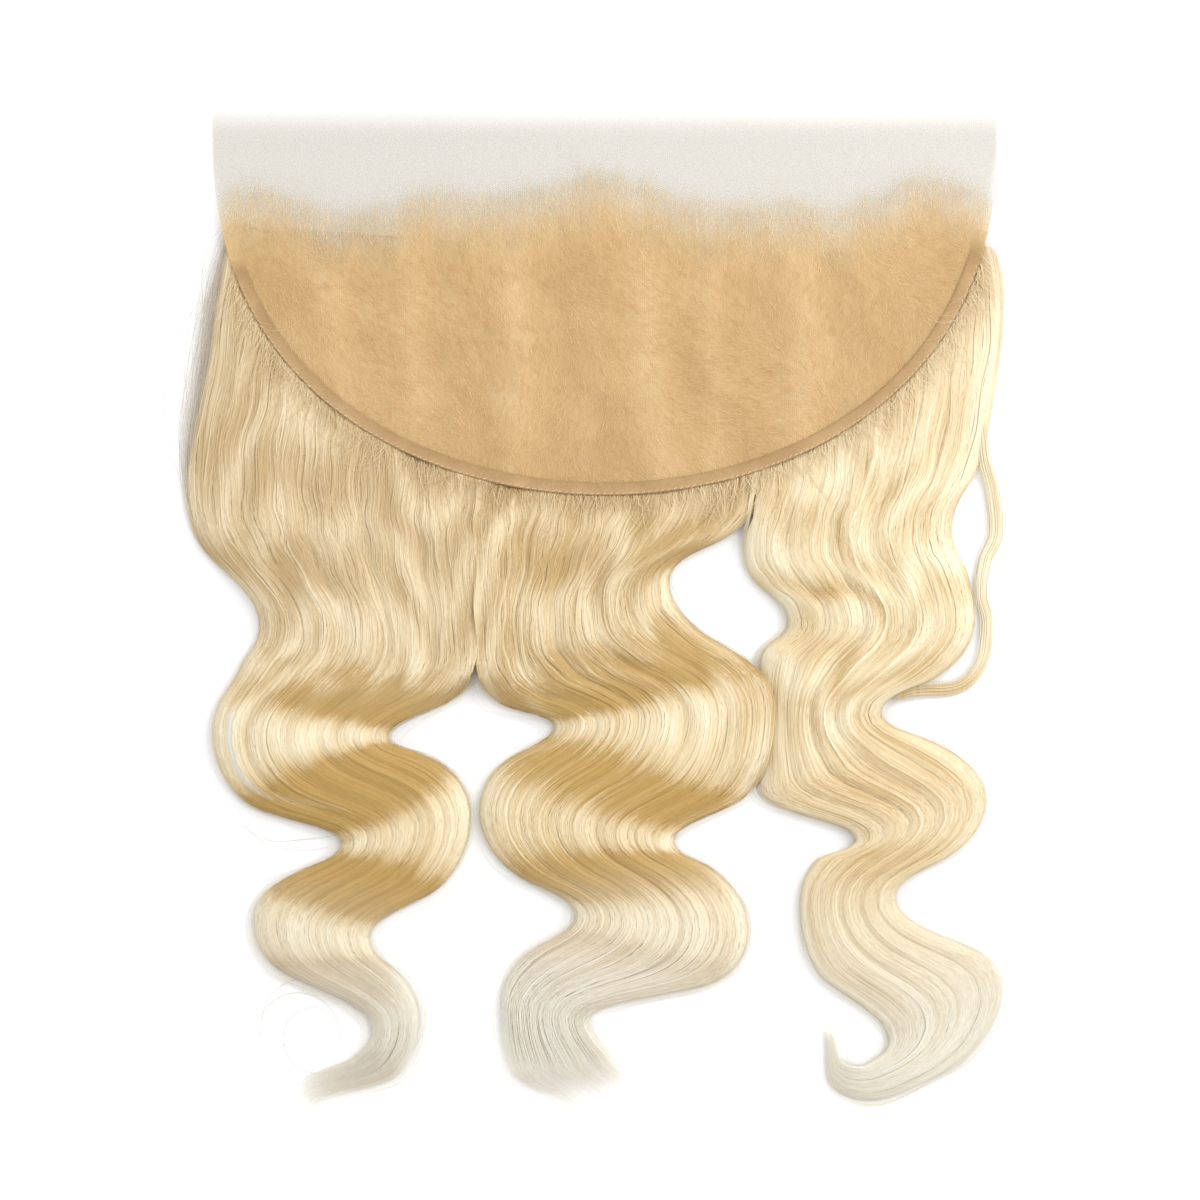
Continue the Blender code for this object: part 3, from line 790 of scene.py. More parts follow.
@dataclass
class HairFall:
    """One fall of hair, named as its CAD node: a combed body that closes it, and ribbons of hair over it."""

    name: str
    flow: Flow
    seed: int
    ribbons: int = 1360
    steps: int = 70
    locks: int = 10
    wisps: int = 64
    body_columns: int = 72
    floor_columns: int = 6
    body_steps: int = 130
    body_first: float = 0.03
    body_end: float = 0.97
    body_floor: float = 0.2
    body_inset: float = 3.2
    sink: float = 0.55
    hidden: float = 9.0
    crimps: float = 12.5
    tufts: int = 26
    # Tone shift of the whole fall: partly its own tone, partly painted light, darker on the left fall and
    # lighter on the right one as if lit from the right.
    tone_and_side_light: float = 0.0
    # straight and swing: how strong the painted highlight of the turns is in the straight part and in the
    # waves.
    straight: float = 0.45
    swing: float = 1.0
    pale_from: float = 0.66
    ashen: float = 0.08
    parted: Sequence[Parted] = ()

    def starts(self, u: Array) -> Array:
        """Finds where each ribbon starts, hidden inside the round edge of the lace."""
        trial = np.linspace(self.body_first, 0.5, 160)
        grid_u, grid_v = np.meshgrid(np.clip(u, 0.0, 1.0), trial, indexing="ij")
        x, y = self.flow.place(grid_u, grid_v)
        hidden = outside(x, y) < -self.hidden
        last = hidden.shape[1] - 1 - np.argmax(hidden[:, ::-1], axis=1)
        return trial[np.where(hidden.any(axis=1), last, 0)]

    def inset(self, v: Array) -> tuple[Array, Array]:
        """Returns how far the body stays inside the fall's two edges, as shares of its width."""
        free = self.body_inset / self.flow.width(v) + 0.10 * smooth(0.80, 1.0, v)
        left, right = (free * (1.0 - self.flow.joined(side, v)) - OVERLAP for side in (0.0, 1.0))
        return left, right

    def edge_paleness_and_light(self, u: Array, v: Array) -> Array:
        """Returns how much paler the thin hair of a free edge is painted: partly its own paleness, partly
        painted light that lifts the shade of the fall's steep edge.
        """
        inner = smooth(0.0, 0.10, u) * smooth(0.0, 0.10, 1.0 - u)
        return 0.32 * (1.0 - inner) * (1.0 - self.flow.joined(u, v))

    def paleness(self, v: Array, share: Array | float) -> Array:
        """Returns how pale the hair is: a share of it towards the tips, and a little in the straight part."""
        tips = smooth(self.pale_from, self.pale_from + 0.26, v) * share
        return tips + self.ashen * (1.0 - smooth(0.30, 0.48, v))

    def parting(self, u: Array, v: Array) -> Array:
        """Returns 1 in the groove beside a lock that lies apart, and 0 elsewhere."""
        groove = np.zeros_like(u + v)
        for split in self.parted:
            apart = window((split.first, split.first + 0.02), (split.last - 0.03, split.last), v)
            across = split.across + split.drift * smooth(split.last - 0.06, split.last, v)
            groove = np.maximum(groove, apart * np.exp(-(((u - across) / 0.016) ** 2)))
        return groove

    def bands(self, u: Array, v: Array) -> Array:
        """Returns the crimp of the straight part, from -1 to 1: bands across, bent from lock to lock."""
        bend = 2.6 * np.sin(7.0 * u + self.seed) + 1.5 * np.sin(17.0 * u + 2.0 * self.seed)
        return np.sin(2.0 * np.pi * self.crimps * v + bend) * window((0.10, 0.18), (0.42, 0.56), v)

    def crest(self, u: Array, v: Array, x: Array, y: Array) -> Array:
        """Returns the height of the hair's surface: it swells just past the hem, and follows the crimp."""
        swell = 1.7 * window((-2.5, 1.5), (14.0, 36.0), outside(x, y))
        above = swell * self.flow.crown(u, v) + 0.55 * self.bands(u, v) - 0.7 * self.parting(u, v)
        return self.flow.top(u, v, x, y) + above

    def body(self, finish: Material) -> Object:
        """Makes the combed body: a closed tube whose upper side is the fall's crown with fine grooves."""
        rng = np.random.default_rng(self.seed)
        v = np.linspace(self.body_first, self.body_end, self.body_steps)
        upper, lower = np.linspace(0.0, 1.0, self.body_columns), np.linspace(1.0, 0.0, self.floor_columns)
        share, along = np.meshgrid(np.concatenate([upper, lower]), v)
        left, right = self.inset(along)
        u = left + (1.0 - left - right) * share
        x, y = self.flow.place(u, along)
        grooves = np.zeros_like(u)
        for waves in (17.0, 29.0, 41.0):
            drift = 1.2 * np.sin(2.0 * np.pi * (along * rng.uniform(1.0, 3.0) + rng.random()))
            grooves = grooves + np.sin(2.0 * np.pi * (waves * u + rng.random()) + drift) / 3.0
        past = outside(x, y)
        bare = smooth(0.0, 20.0, past)
        z = self.crest(u, along, x, y) - self.sink + 0.12 * grooves * bare
        thin = smooth(0.72, self.body_end, along)
        z = np.maximum(z * (1.0 - 0.45 * thin), 3.0 * self.body_floor)
        z[:, self.body_columns:] = self.body_floor
        paths = np.stack([x, y, z], axis=-1)
        rows, columns = u.shape
        quads = tube_quads(rows, columns)
        strip = np.broadcast_to(np.arange(columns) / columns, (rows - 1, columns))
        down = np.broadcast_to((np.arange(rows - 1) / rows)[:, None], strip.shape)
        beside, below = strip + 1.0 / columns, down + 1.0 / rows
        across = np.stack([strip, strip, beside, beside], axis=-1)
        spots = np.stack([across, np.stack([down, below, below, down], axis=-1)], axis=-1).reshape(-1, 2)
        end_spots = np.full((quads.size - len(spots), 2), 0.999)
        patch = Patch(paths.reshape(-1, 3), quads, np.concatenate([spots, end_spots]))
        frayed = along + 0.020 * np.sin(u * 71.0) + 0.016 * np.sin(u * 33.0 + 2.0)
        upright = uprightness(np.swapaxes(paths, 0, 1)).T
        values = {
            # The tone follows the grooves: painted shade in their troughs and painted light on their ridges.
            "tone": 0.46 + self.tone_and_side_light + 0.08 * grooves + self.edge_paleness_and_light(u, along),
            # turn: painted highlight at the turns and on the crimp bands.
            "turn": upright * self.turn_highlight_share(along) + BAND_HIGHLIGHT * self.bands(u, along),
            "flow_x": u * FLOW_ACROSS,
            "flow_y": along * FLOW_ALONG,
            # root: painted shade, brown in a band around the hem's edge.
            "root": 0.45 * window((-8.0, -2.0), (2.0, 11.0 + 5.0 * np.sin(u * 61.0)), past),
            "tip": np.maximum(self.paleness(along, 0.85), self.parting(u, along)),
            "cover": smooth(0.03, 0.07, along) * (1.0 - smooth(0.83, self.body_end - 0.02, frayed)),
        }
        return make_piece(self.name + "_body", patch, values, finish)

    def turn_highlight_share(self, v: Array) -> Array:
        """Returns how strong the painted highlight of a turn is: little in the straight part, fully in the
        waves.
        """
        return self.straight + (self.swing - self.straight) * smooth(0.25, 0.45, v)

    def shares(self) -> Array:
        """Returns how far along a ribbon each step is: the steps lie closer together in its crimped start."""
        return steps_along(self.steps) ** 1.4

    def ribbon_places(self, rng: np.random.Generator) -> tuple[Array, Array, Array, Array, Array, Array]:
        """Finds the way of each ribbon in u and v.

        A ribbon keeps its place across the fall, drifts with its lock, is drawn to the middle of its wisp
        and wanders a little by itself. The ribbons of both edges stand out, and at the tips they fan out.

        Returns:
            u, v, the ribbon's lock, its wisp, whether it strays and how far across its lock it lies.
        """
        count = self.ribbons
        u0 = np.linspace(-OVERLAP, 1.0 + OVERLAP, count) + rng.normal(0.0, 0.004, count)
        shift = rng.uniform(-0.25, 0.25, self.locks - 1)
        lock_edges = np.sort((np.arange(1, self.locks) + shift) / self.locks)
        lock = np.searchsorted(lock_edges, u0)

        def nearest(number: int, shift: float) -> tuple[Array, Array]:
            """Spreads centres across the fall, and finds the one that each ribbon is nearest to."""
            centres = np.sort((np.arange(number) + 0.5 + rng.uniform(-shift, shift, number)) / number)
            return centres, np.abs(u0[:, None] - centres[None, :]).argmin(axis=1)

        centres, wisp = nearest(self.wisps, 0.4)
        _, tuft = nearest(self.tufts, 0.3)
        start = np.maximum(self.starts(u0) - rng.uniform(0.0, 0.012, count), self.body_first)
        length = rng.random(count)
        end = np.where(length < 0.30, 0.76 + 0.6 * length, 0.93 + 0.11 * rng.random(count))
        s = self.shares()
        v = start[:, None] + (end - start)[:, None] * s
        past = v - start[:, None]
        grow = smooth(0.02, 0.12, past)

        def sway(low: float, high: float, owner: Array, number: int) -> Array:
            """Returns a wave along v for each owner, with its own pace and phase."""
            pace = rng.uniform(low, high, number)[owner, None]
            return np.sin(2.0 * np.pi * (pace * v + rng.random(number)[owner, None]))

        lock_wave = sway(1.2, 2.6, lock, self.locks)
        wisp_wave = sway(2.0, 5.0, wisp, self.wisps)
        tuft_wave = sway(17.0, 27.0, tuft, self.tufts)
        own_wave = sway(1.5, 6.0, np.arange(count), count)
        stray = rng.random(count) < 0.12
        pinch = (0.05 + 0.07 * wisp_wave + 0.22 * smooth(0.6, 1.0, v)) * grow
        left_hold = (1.0 - smooth(0.0, 0.08, u0))[:, None] * (1.0 - self.flow.joined(0.0, v))
        right_hold = (1.0 - smooth(0.0, 0.08, 1.0 - u0))[:, None] * (1.0 - self.flow.joined(1.0, v))
        loose = 1.0 - left_hold - right_hold
        leaving = window((0.0, 0.05), (0.10, 0.24), past)
        crimped = window((0.0, 0.04), (0.14, 0.34), past)
        crossing = rng.normal(0.0, 0.011, self.wisps)[wisp, None] + rng.normal(0.0, 0.004, count)[:, None]
        u = u0[:, None] + (centres[wisp] - u0)[:, None] * pinch
        u = u + loose * (0.013 * lock_wave + 0.004 * wisp_wave) * grow
        u = u + loose * (crossing * leaving + 0.0065 * tuft_wave * crimped)
        u = u + grow * own_wave * np.where(stray, 0.014, 0.0025)[:, None]
        slack = FREE_SLACK * loose + JOINED_SLACK * self.flow.joined(u, v)
        slack = slack / self.flow.width(np.clip(v, 0.0, 1.0))
        fan = 0.16 * smooth(0.92, 1.05, v) * rng.normal(0.0, 0.7, count)[:, None]
        reach = np.abs(rng.normal(0.0, 0.005, count))[:, None]
        u = np.clip(u, -slack, 1.0 + slack) + fan - left_hold * reach + right_hold * reach
        v = v + 0.0045 * lock_wave + 0.0012 * wisp_wave + rng.normal(0.0, 0.0010, count)[:, None]
        shingle = (u0 - np.concatenate([[0.0], lock_edges])[lock]) * self.locks
        return u, v, lock, wisp, stray, np.clip(shingle, 0.0, 1.2)

    def locks_of_hair(self, finish: Material) -> Object:
        """Makes the ribbons: near the crown's height, on top of each other, leaning as the crown does."""
        rng = np.random.default_rng(self.seed + 1)
        count = self.ribbons
        u, v, lock, wisp, stray, shingle = self.ribbon_places(rng)
        x, y = self.flow.place(u, np.clip(v, 0.0, 1.05))
        depth = rng.random(count)[:, None]
        lift = 0.10 - 0.28 * smooth(0.55, 1.0, shingle) + rng.uniform(-0.08, 0.12, self.wisps)[wisp]
        lift = (lift + np.where(stray, 0.2, 0.0))[:, None]
        past = outside(x, y)
        bare = smooth(0.0, 16.0, past)
        even = 1.0 - 0.6 * smooth(0.60, 0.85, v)
        z = self.crest(u, v, x, y) - 0.2 - 0.3 * depth + lift * bare * even
        tail = smooth(0.80, 1.0, v)
        z = np.maximum(z * (1.0 - 0.25 * tail * depth), 0.30)
        paths = np.stack([x, y, z], axis=-1)
        s = self.shares()
        width = self.flow.width(np.clip(v, 0.0, 1.0))
        crowd = np.clip(width / 110.0, 0.35, 1.0) ** 0.6
        taper = smooth(-0.02, 0.03, s) * (1.0 - 0.88 * smooth(0.62, 1.0, s))
        bound = self.flow.joined(u, v)
        free_edge = np.maximum(smooth(0.0, 0.03, u) * smooth(0.0, 0.03, 1.0 - u), bound)
        wide = rng.uniform(0.13, 0.30, count)[:, None] * taper * crowd * np.where(stray, 0.6, 1.0)[:, None]
        wide = wide * (0.30 + 0.70 * free_edge)
        step = 0.012
        slope = self.flow.top(u + step, v, x, y) - self.flow.top(u - step, v, x, y)
        slope = np.clip(slope / (2.0 * step * width), -0.5, 0.5)
        roll = rng.normal(0.0, 0.07, count)[:, None]
        roll = roll + 0.06 * np.sin(9.0 * v + 6.0 * rng.random(count)[:, None])
        patch = ribbon_patch(paths, wide, roll - slope)
        # Painted shade: the deeper ribbons and the low side of each lock's shingle are darker; the rest is
        # each wisp's, lock's and hair's own tone.
        wisp_tone = rng.normal(0.0, 0.07, self.wisps)[wisp]
        lock_tone_and_shade = rng.normal(0.0, 0.05, self.locks)[lock] + 0.06 - 0.24 * smooth(0.6, 1.0, shingle)
        tone = 0.52 + self.tone_and_side_light + wisp_tone + rng.normal(0.0, 0.14, count)
        tone = tone[:, None] + lock_tone_and_shade[:, None] * even - 0.14 * depth + self.edge_paleness_and_light(u, v)
        # A painted brown shade just past the hem, in tufts of their own length and strength.
        patch_size = 0.5 + 0.5 * np.sin(23.0 * u + 2.0 * np.sin(11.0 * u + self.seed))
        tuft = (rng.uniform(4.0, 12.0, self.wisps)[wisp] * rng.uniform(0.6, 1.4, count))[:, None]
        tuft = tuft + 9.0 * patch_size
        strength = rng.uniform(0.0, 0.5, self.wisps)[wisp, None] + 0.3 * patch_size
        root = strength * (1.0 - smooth(1.0, tuft, past))
        share = rng.uniform(0.6, 1.0, count)[:, None] * rng.uniform(0.7, 1.0, self.wisps)[wisp, None]
        pale = np.maximum(self.paleness(v, share), self.parting(u, v))
        values = {
            "tone": on_corners(np.clip(tone, 0.0, 1.6)),
            # turn: painted highlight at the turns and on the crimp bands.
            "turn": on_corners(uprightness(paths) * self.turn_highlight_share(v) + BAND_HIGHLIGHT * self.bands(u, v)),
            "flow_x": on_corners(u * FLOW_ACROSS),
            "flow_y": on_corners(v * FLOW_ALONG),
            "root": on_corners(root),
            "tip": on_corners(pale),
        }
        return make_piece(self.name + "_ribbons", patch, values, finish)

    def build(self, dense: Material, thin: Material) -> list[Object]:
        """Builds the fall in place of its CAD node.

        Args:
            dense: the hair finish of the ribbons.
            thin: the same finish with a see-through front and tail, for the body.

        Returns:
            The body and the ribbons.
        """
        body, ribbons = self.body(thin), self.locks_of_hair(dense)
        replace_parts(body, self.name)
        return [body, ribbons]


@dataclass
class Frizz:
    """The short fluffy hairs that leave the hem in every direction, and lie over the roots of the falls."""

    hairs: int = 2000
    steps: int = 8
    seed: int = 51
    ceiling: float = 13.2

    def build(self, finish: Material) -> Object:
        """Makes short curved hairs in tufts along the hem's outer edge.

        Args:
            finish: the hair material.

        Returns:
            The frizz as one piece.
        """
        rng = np.random.default_rng(self.seed)
        turn = rng.uniform(HEM_FIRST + 0.01, HEM_LAST - 0.02, self.hairs)
        x, y = rim(turn)
        ahead_x, ahead_y = rim(turn + 1e-4)
        outward = np.arctan2(-(ahead_x - x), ahead_y - y)
        down = -0.5 * np.pi
        lean = 14.0 * np.sin(turn * 260.0 + 3.0 * np.sin(turn * 90.0)) + rng.normal(0.0, 13.0, self.hairs)
        angle = down + 0.5 * np.sin(outward - down) + np.radians(lean)
        bend = np.radians(rng.normal(0.0, 28.0, self.hairs))
        s = steps_along(self.steps)
        px, py = arcs(x, y + 0.5, angle, bend, rng.gamma(3.0, 4.0, self.hairs)[:, None] * s)
        rise = rng.uniform(0.0, 1.2, self.hairs)[:, None]
        lifted = 1.9 * smooth(0.0, 0.25, s) + rise * np.sin(np.pi * s**0.7)
        height = np.minimum(lace_rise(np.maximum(py, LACE_REAR_Y)) - HAIR_GAP + lifted, self.ceiling)
        paths = joined_up(px, py, height)
        wide = rng.uniform(0.06, 0.14, self.hairs)[:, None] * (1.0 - 0.75 * s)
        patch = ribbon_patch(paths, wide, rng.normal(0.0, 0.3, self.hairs)[:, None])
        tone = (rng.normal(0.66, 0.16, self.hairs) + 0.6 * smooth(50.0, 90.0, x))[:, None]
        return make_piece("hem_frizz", patch, plain_values(paths, tone, 0.45), finish)


@dataclass
class LacePanel:
    """The D-shaped net, its folded hem, the felt of hair below it and the short fibres in it."""

    columns: int = 150
    rows: int = 84
    mat_columns: int = 170
    mat_rows: int = 70
    hem_columns: int = 320
    fibres: int = 24000
    front_hairs: int = 5200
    stitches: int = 150
    seed: int = 31

    def net(self, finish: Material) -> Object:
        """Makes the net: ruled from the round edge to the straight front, over the CAD model's climb."""
        turn, ahead = np.meshgrid(np.linspace(0.0, 1.0, self.columns), np.linspace(0.0, 1.0, self.rows))
        x, edge = rim(turn)
        y = edge + (LACE_FRONT_Y - edge) * ahead
        ripple = 0.12 * np.sin(x * 0.21 + 0.6 * np.sin(y * 0.05)) * np.sin(y * 0.11 + 1.0)
        z = lace_floor(x, y) + 0.5 * LACE_WALL + ripple
        values = {
            "cover": 0.30 + 0.70 * smooth(0.0, 15.0, LACE_FRONT_Y - y),
            "inner": smooth(-4.0, 12.0, hairline_y(x) - y),
        }
        return make_piece("lace_net", surface(turn, ahead, x, y, z), values, finish)

    def mat(self, finish: Material) -> Object:
        """Makes the felt of knotted hair just below the net, from the round edge to the hairline."""
        across, forward = np.linspace(0.058, 0.940, self.mat_columns), np.linspace(0.0, 1.0, self.mat_rows)
        turn, ahead = np.meshgrid(across, forward)
        x, edge = rim(turn)
        edge = edge + 1.0
        front = np.maximum(hairline_y(x) + 9.0, edge + 4.0)
        y = edge + (front - edge) * ahead
        z = lace_floor(x, y) - 0.25
        cloud = 2.5 * np.sin(x * 0.23) + 1.8 * np.sin(x * 0.61 + 1.0)
        behind = hairline_y(x) - y
        values = {
            "cover": smooth(-9.0, 25.0, behind + cloud) ** 1.3,
            # fold: painted light on the folds' crests and painted shade between them, and lighter towards the
            # hairline.
            "fold": fold_share(x, y) - 0.25 + 1.6 * (1.0 - smooth(0.0, 30.0, behind)),
        }
        return make_piece("hair_mat", surface(turn, ahead, x, y, z), values, finish)

    def hem(self, finish: Material) -> Object:
        """Makes the hem: a flat folded profile with round edges, carried along the round edge."""
        profile = np.array(HEM_PROFILE)
        turn = np.linspace(HEM_FIRST, HEM_LAST, self.hem_columns)
        x, y = rim(turn)
        run = normalised(np.stack([np.gradient(x), np.gradient(y)], axis=-1))
        out_x = x[:, None] - run[:, 1, None] * profile[:, 0]
        out_y = y[:, None] + run[:, 0, None] * profile[:, 0]
        base = lace_floor(out_x, out_y) + HEM_LIFT
        verts = np.stack([out_x, out_y, base + profile[:, 1]], axis=-1)
        quads = tube_quads(self.hem_columns, len(profile))
        spots = verts.reshape(-1, 3)[quads.ravel(), :2] / MAP_SPAN + (0.5, 0.0)
        ends = window((HEM_FIRST, HEM_FIRST + 0.02), (HEM_LAST - 0.035, HEM_LAST - 0.005), turn)
        inner = 1.0 - 0.4 * smooth(3.4, 5.4, profile[:, 0])
        cover = (0.10 + 0.76 * ends[:, None]) * inner * (0.55 + 0.45 * smooth(0.0, 0.8, profile[:, 0]))
        return make_piece("hem_band", Patch(verts.reshape(-1, 3), quads, spots), {"cover": cover}, finish)

    def fuzz(self, finish: Material) -> Object:
        """Makes the short fibres in the net: each leaves its knot in the slant of its neighbourhood."""
        rng = np.random.default_rng(self.seed)
        wanted = self.fibres * 2
        x = rng.uniform(-158.0, 167.0, wanted)
        y = rng.uniform(46.0, 182.0, wanted)
        keep = (outside(x, y) < -4.5) & (hairline_y(x) - y > rng.exponential(20.0, wanted) - 8.0)
        x, y = x[keep][: self.fibres], y[keep][: self.fibres]
        count = len(x)
        near = 1.0 - smooth(0.0, 28.0, hairline_y(x) - y)
        lean = -58.0 + 34.0 * np.sin(x * 0.045 + 1.3 * np.sin(y * 0.05)) + 24.0 * np.sin(y * 0.07 + 0.03 * x)
        lean = lean + (-86.0 - lean) * near
        angle = np.radians(lean + rng.normal(0.0, 20.0, count) * (1.0 - 0.4 * near))
        bend = np.radians(rng.normal(0.0, 14.0, count))
        s = steps_along(4)
        px, py = arcs(x, y, angle, bend, rng.uniform(2.2, 6.0, count)[:, None] * s)
        above = np.where(rng.random(count) < 0.6, 0.62, 0.15)[:, None]
        height = lace_floor(px, py) + above + 0.45 * np.sin(np.pi * s) * rng.random(count)[:, None]
        paths = joined_up(px, py, height)
        wide = rng.uniform(0.035, 0.075, count)[:, None] * (1.0 - 0.6 * s)
        patch = ribbon_patch(paths, wide, rng.normal(0.0, 0.2, count)[:, None])
        # Painted light: the fibres are lighter on the folds' crests, and take more of the painted highlight
        # near the hairline.
        tone = rng.normal(0.45, 0.18, count)[:, None] + 0.15 * fold_share(px, py)
        values = plain_values(paths, tone, 0.30 + 0.30 * near[:, None])
        return make_piece("root_fuzz", patch, values, finish)

    def baby_hair(self, finish: Material) -> Object:
        """Makes the soft front of the hairline: the finest hairs, which reach forward in arcs."""
        rng = np.random.default_rng(self.seed + 5)
        count = self.front_hairs
        x = rng.uniform(-157.0, 168.0, count)
        y = hairline_y(x) - np.abs(rng.normal(0.0, 9.0, count)) + 2.0
        angle = np.radians(90.0 + rng.normal(0.0, 17.0, count) - 12.0 * np.sin(x * 0.045))
        bend = np.radians(rng.normal(0.0, 20.0, count))
        s = steps_along(5)
        px, py = arcs(x, y, angle, bend, rng.gamma(4.0, 1.6, count)[:, None] * s)
        height = lace_floor(px, py) + 0.55 + 0.3 * s * rng.random(count)[:, None]
        paths = joined_up(px, py, height)
        wide = rng.uniform(0.025, 0.050, count)[:, None] * (1.0 - 0.6 * s)
        patch = ribbon_patch(paths, wide)
        return make_piece("baby_hair", patch, plain_values(paths, 0.7, 0.4, tip=0.2), finish)

    def stitching(self, finish: Material) -> Object:
        """Makes the hem's stitches: short slanting threads near the inner edge of the band."""
        rng = np.random.default_rng(self.seed + 9)
        turn = np.linspace(HEM_FIRST + 0.02, HEM_LAST - 0.03, self.stitches)
        x, y = rim(turn)
        ahead_x, ahead_y = rim(turn + 1e-4)
        run = normalised(np.stack([ahead_x - x, ahead_y - y], axis=-1))
        along = STITCH_REACH * np.linspace(-1.0, 1.0, 5)[None, :]
        slant = STITCH_INSET + 0.35 * along + rng.normal(0.0, 0.05, len(turn))[:, None]
        px = x[:, None] + run[:, 0, None] * along - run[:, 1, None] * slant
        py = y[:, None] + run[:, 1, None] * along + run[:, 0, None] * slant
        height = lace_floor(px, py) + HEM_LIFT + 0.28 - 0.10 * (along / STITCH_REACH) ** 2
        patch = ribbon_patch(joined_up(px, py, height), np.full((1, 1), STITCH_HALF_WIDTH))
        return make_piece("hem_stitches", patch, {}, finish)

    def build(self, finishes: "Finishes") -> dict[Slot, list[Object]]:
        """Builds the panel in place of its CAD nodes.

        Args:
            finishes: the materials.

        Returns:
            The pieces, by the record's slot.
        """
        lace, band = self.net(finishes.net), self.hem(finishes.hem)
        stitches = self.stitching(finishes.thread)
        hairs = [self.mat(finishes.mat), self.fuzz(finishes.roots), self.baby_hair(finishes.hair)]
        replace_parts(lace, "lace_panel")
        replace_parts(band, "edge_hem")
        mesh_area(lace)
        return {Slot.LACE: [lace], Slot.HEM: [band, stitches], Slot.HAIR: hairs}


@dataclass
class SideWisp:
    """The thin lock that leaves the right fall near the hem and joins it again lower down."""

    hairs: int = 90
    steps: int = 70
    seed: int = 71

    def build(self, finish: Material) -> Object:
        """Makes the wisp's hairs, spread most where the wisp swings free.

        Args:
            finish: the hair material.

        Returns:
            The wisp, in place of its CAD node.
        """
        rng = np.random.default_rng(self.seed)
        s = steps_along(self.steps)
        t = s + rng.normal(0.0, 0.006, self.hairs)[:, None]
        middle = along_wave(np.array(WISP_ROUTE, float), np.clip(t, 0.0, 1.0))
        run = normalised(np.gradient(middle, axis=1))
        aside = rng.normal(0.0, 1.0, self.hairs)[:, None]
        spread = 0.5 + 1.0 * np.sin(np.pi * s) + 0.5 * np.sin(7.0 * s + rng.random(self.hairs)[:, None] * 2.0)
        x = middle[..., 0] + run[..., 1] * aside * spread
        y = middle[..., 1] - run[..., 0] * aside * spread
        z = 1.0 + 1.6 * rng.random(self.hairs)[:, None]
        z = z + 1.2 * (1.0 - smooth(0.0, 0.2, s)) + 2.2 * smooth(0.85, 1.0, s)
        paths = joined_up(x, y, z)
        wide = rng.uniform(0.08, 0.20, self.hairs)[:, None] * (1.0 - 0.7 * np.abs(2.0 * s - 1.0) ** 3)
        patch = ribbon_patch(paths, wide, rng.normal(0.0, 0.5, self.hairs)[:, None])
        tone = rng.normal(0.8, 0.16, self.hairs)[:, None]
        # The wisp is painted lighter where it runs to or from the front: a painted highlight.
        values = plain_values(paths, tone, 0.3 + 0.6 * uprightness(paths))
        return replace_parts(make_piece("side_wisp_hairs", patch, values, finish), "side_wisp")


class Loop(NamedTuple):
    """A loose hair that curls away: the middle, radius, start and sweep of its arc, in mm and degrees."""

    x: float
    y: float
    radius: float
    start: float
    sweep: float


LOOPS = tuple(map(Loop._make, (
    (-126.0, -183.0, 16.0, -150.0, -250.0), (-122.0, -180.0, 19.0, -170.0, -190.0),
    (-129.0, -178.0, 22.0, 150.0, 110.0), (-133.0, -176.0, 12.0, 100.0, 240.0),
    (-119.0, -186.0, 13.0, 60.0, 230.0), (-127.0, -77.0, 27.0, 205.0, 95.0),
    (-131.0, -64.0, 36.0, 240.0, 62.0),
)))


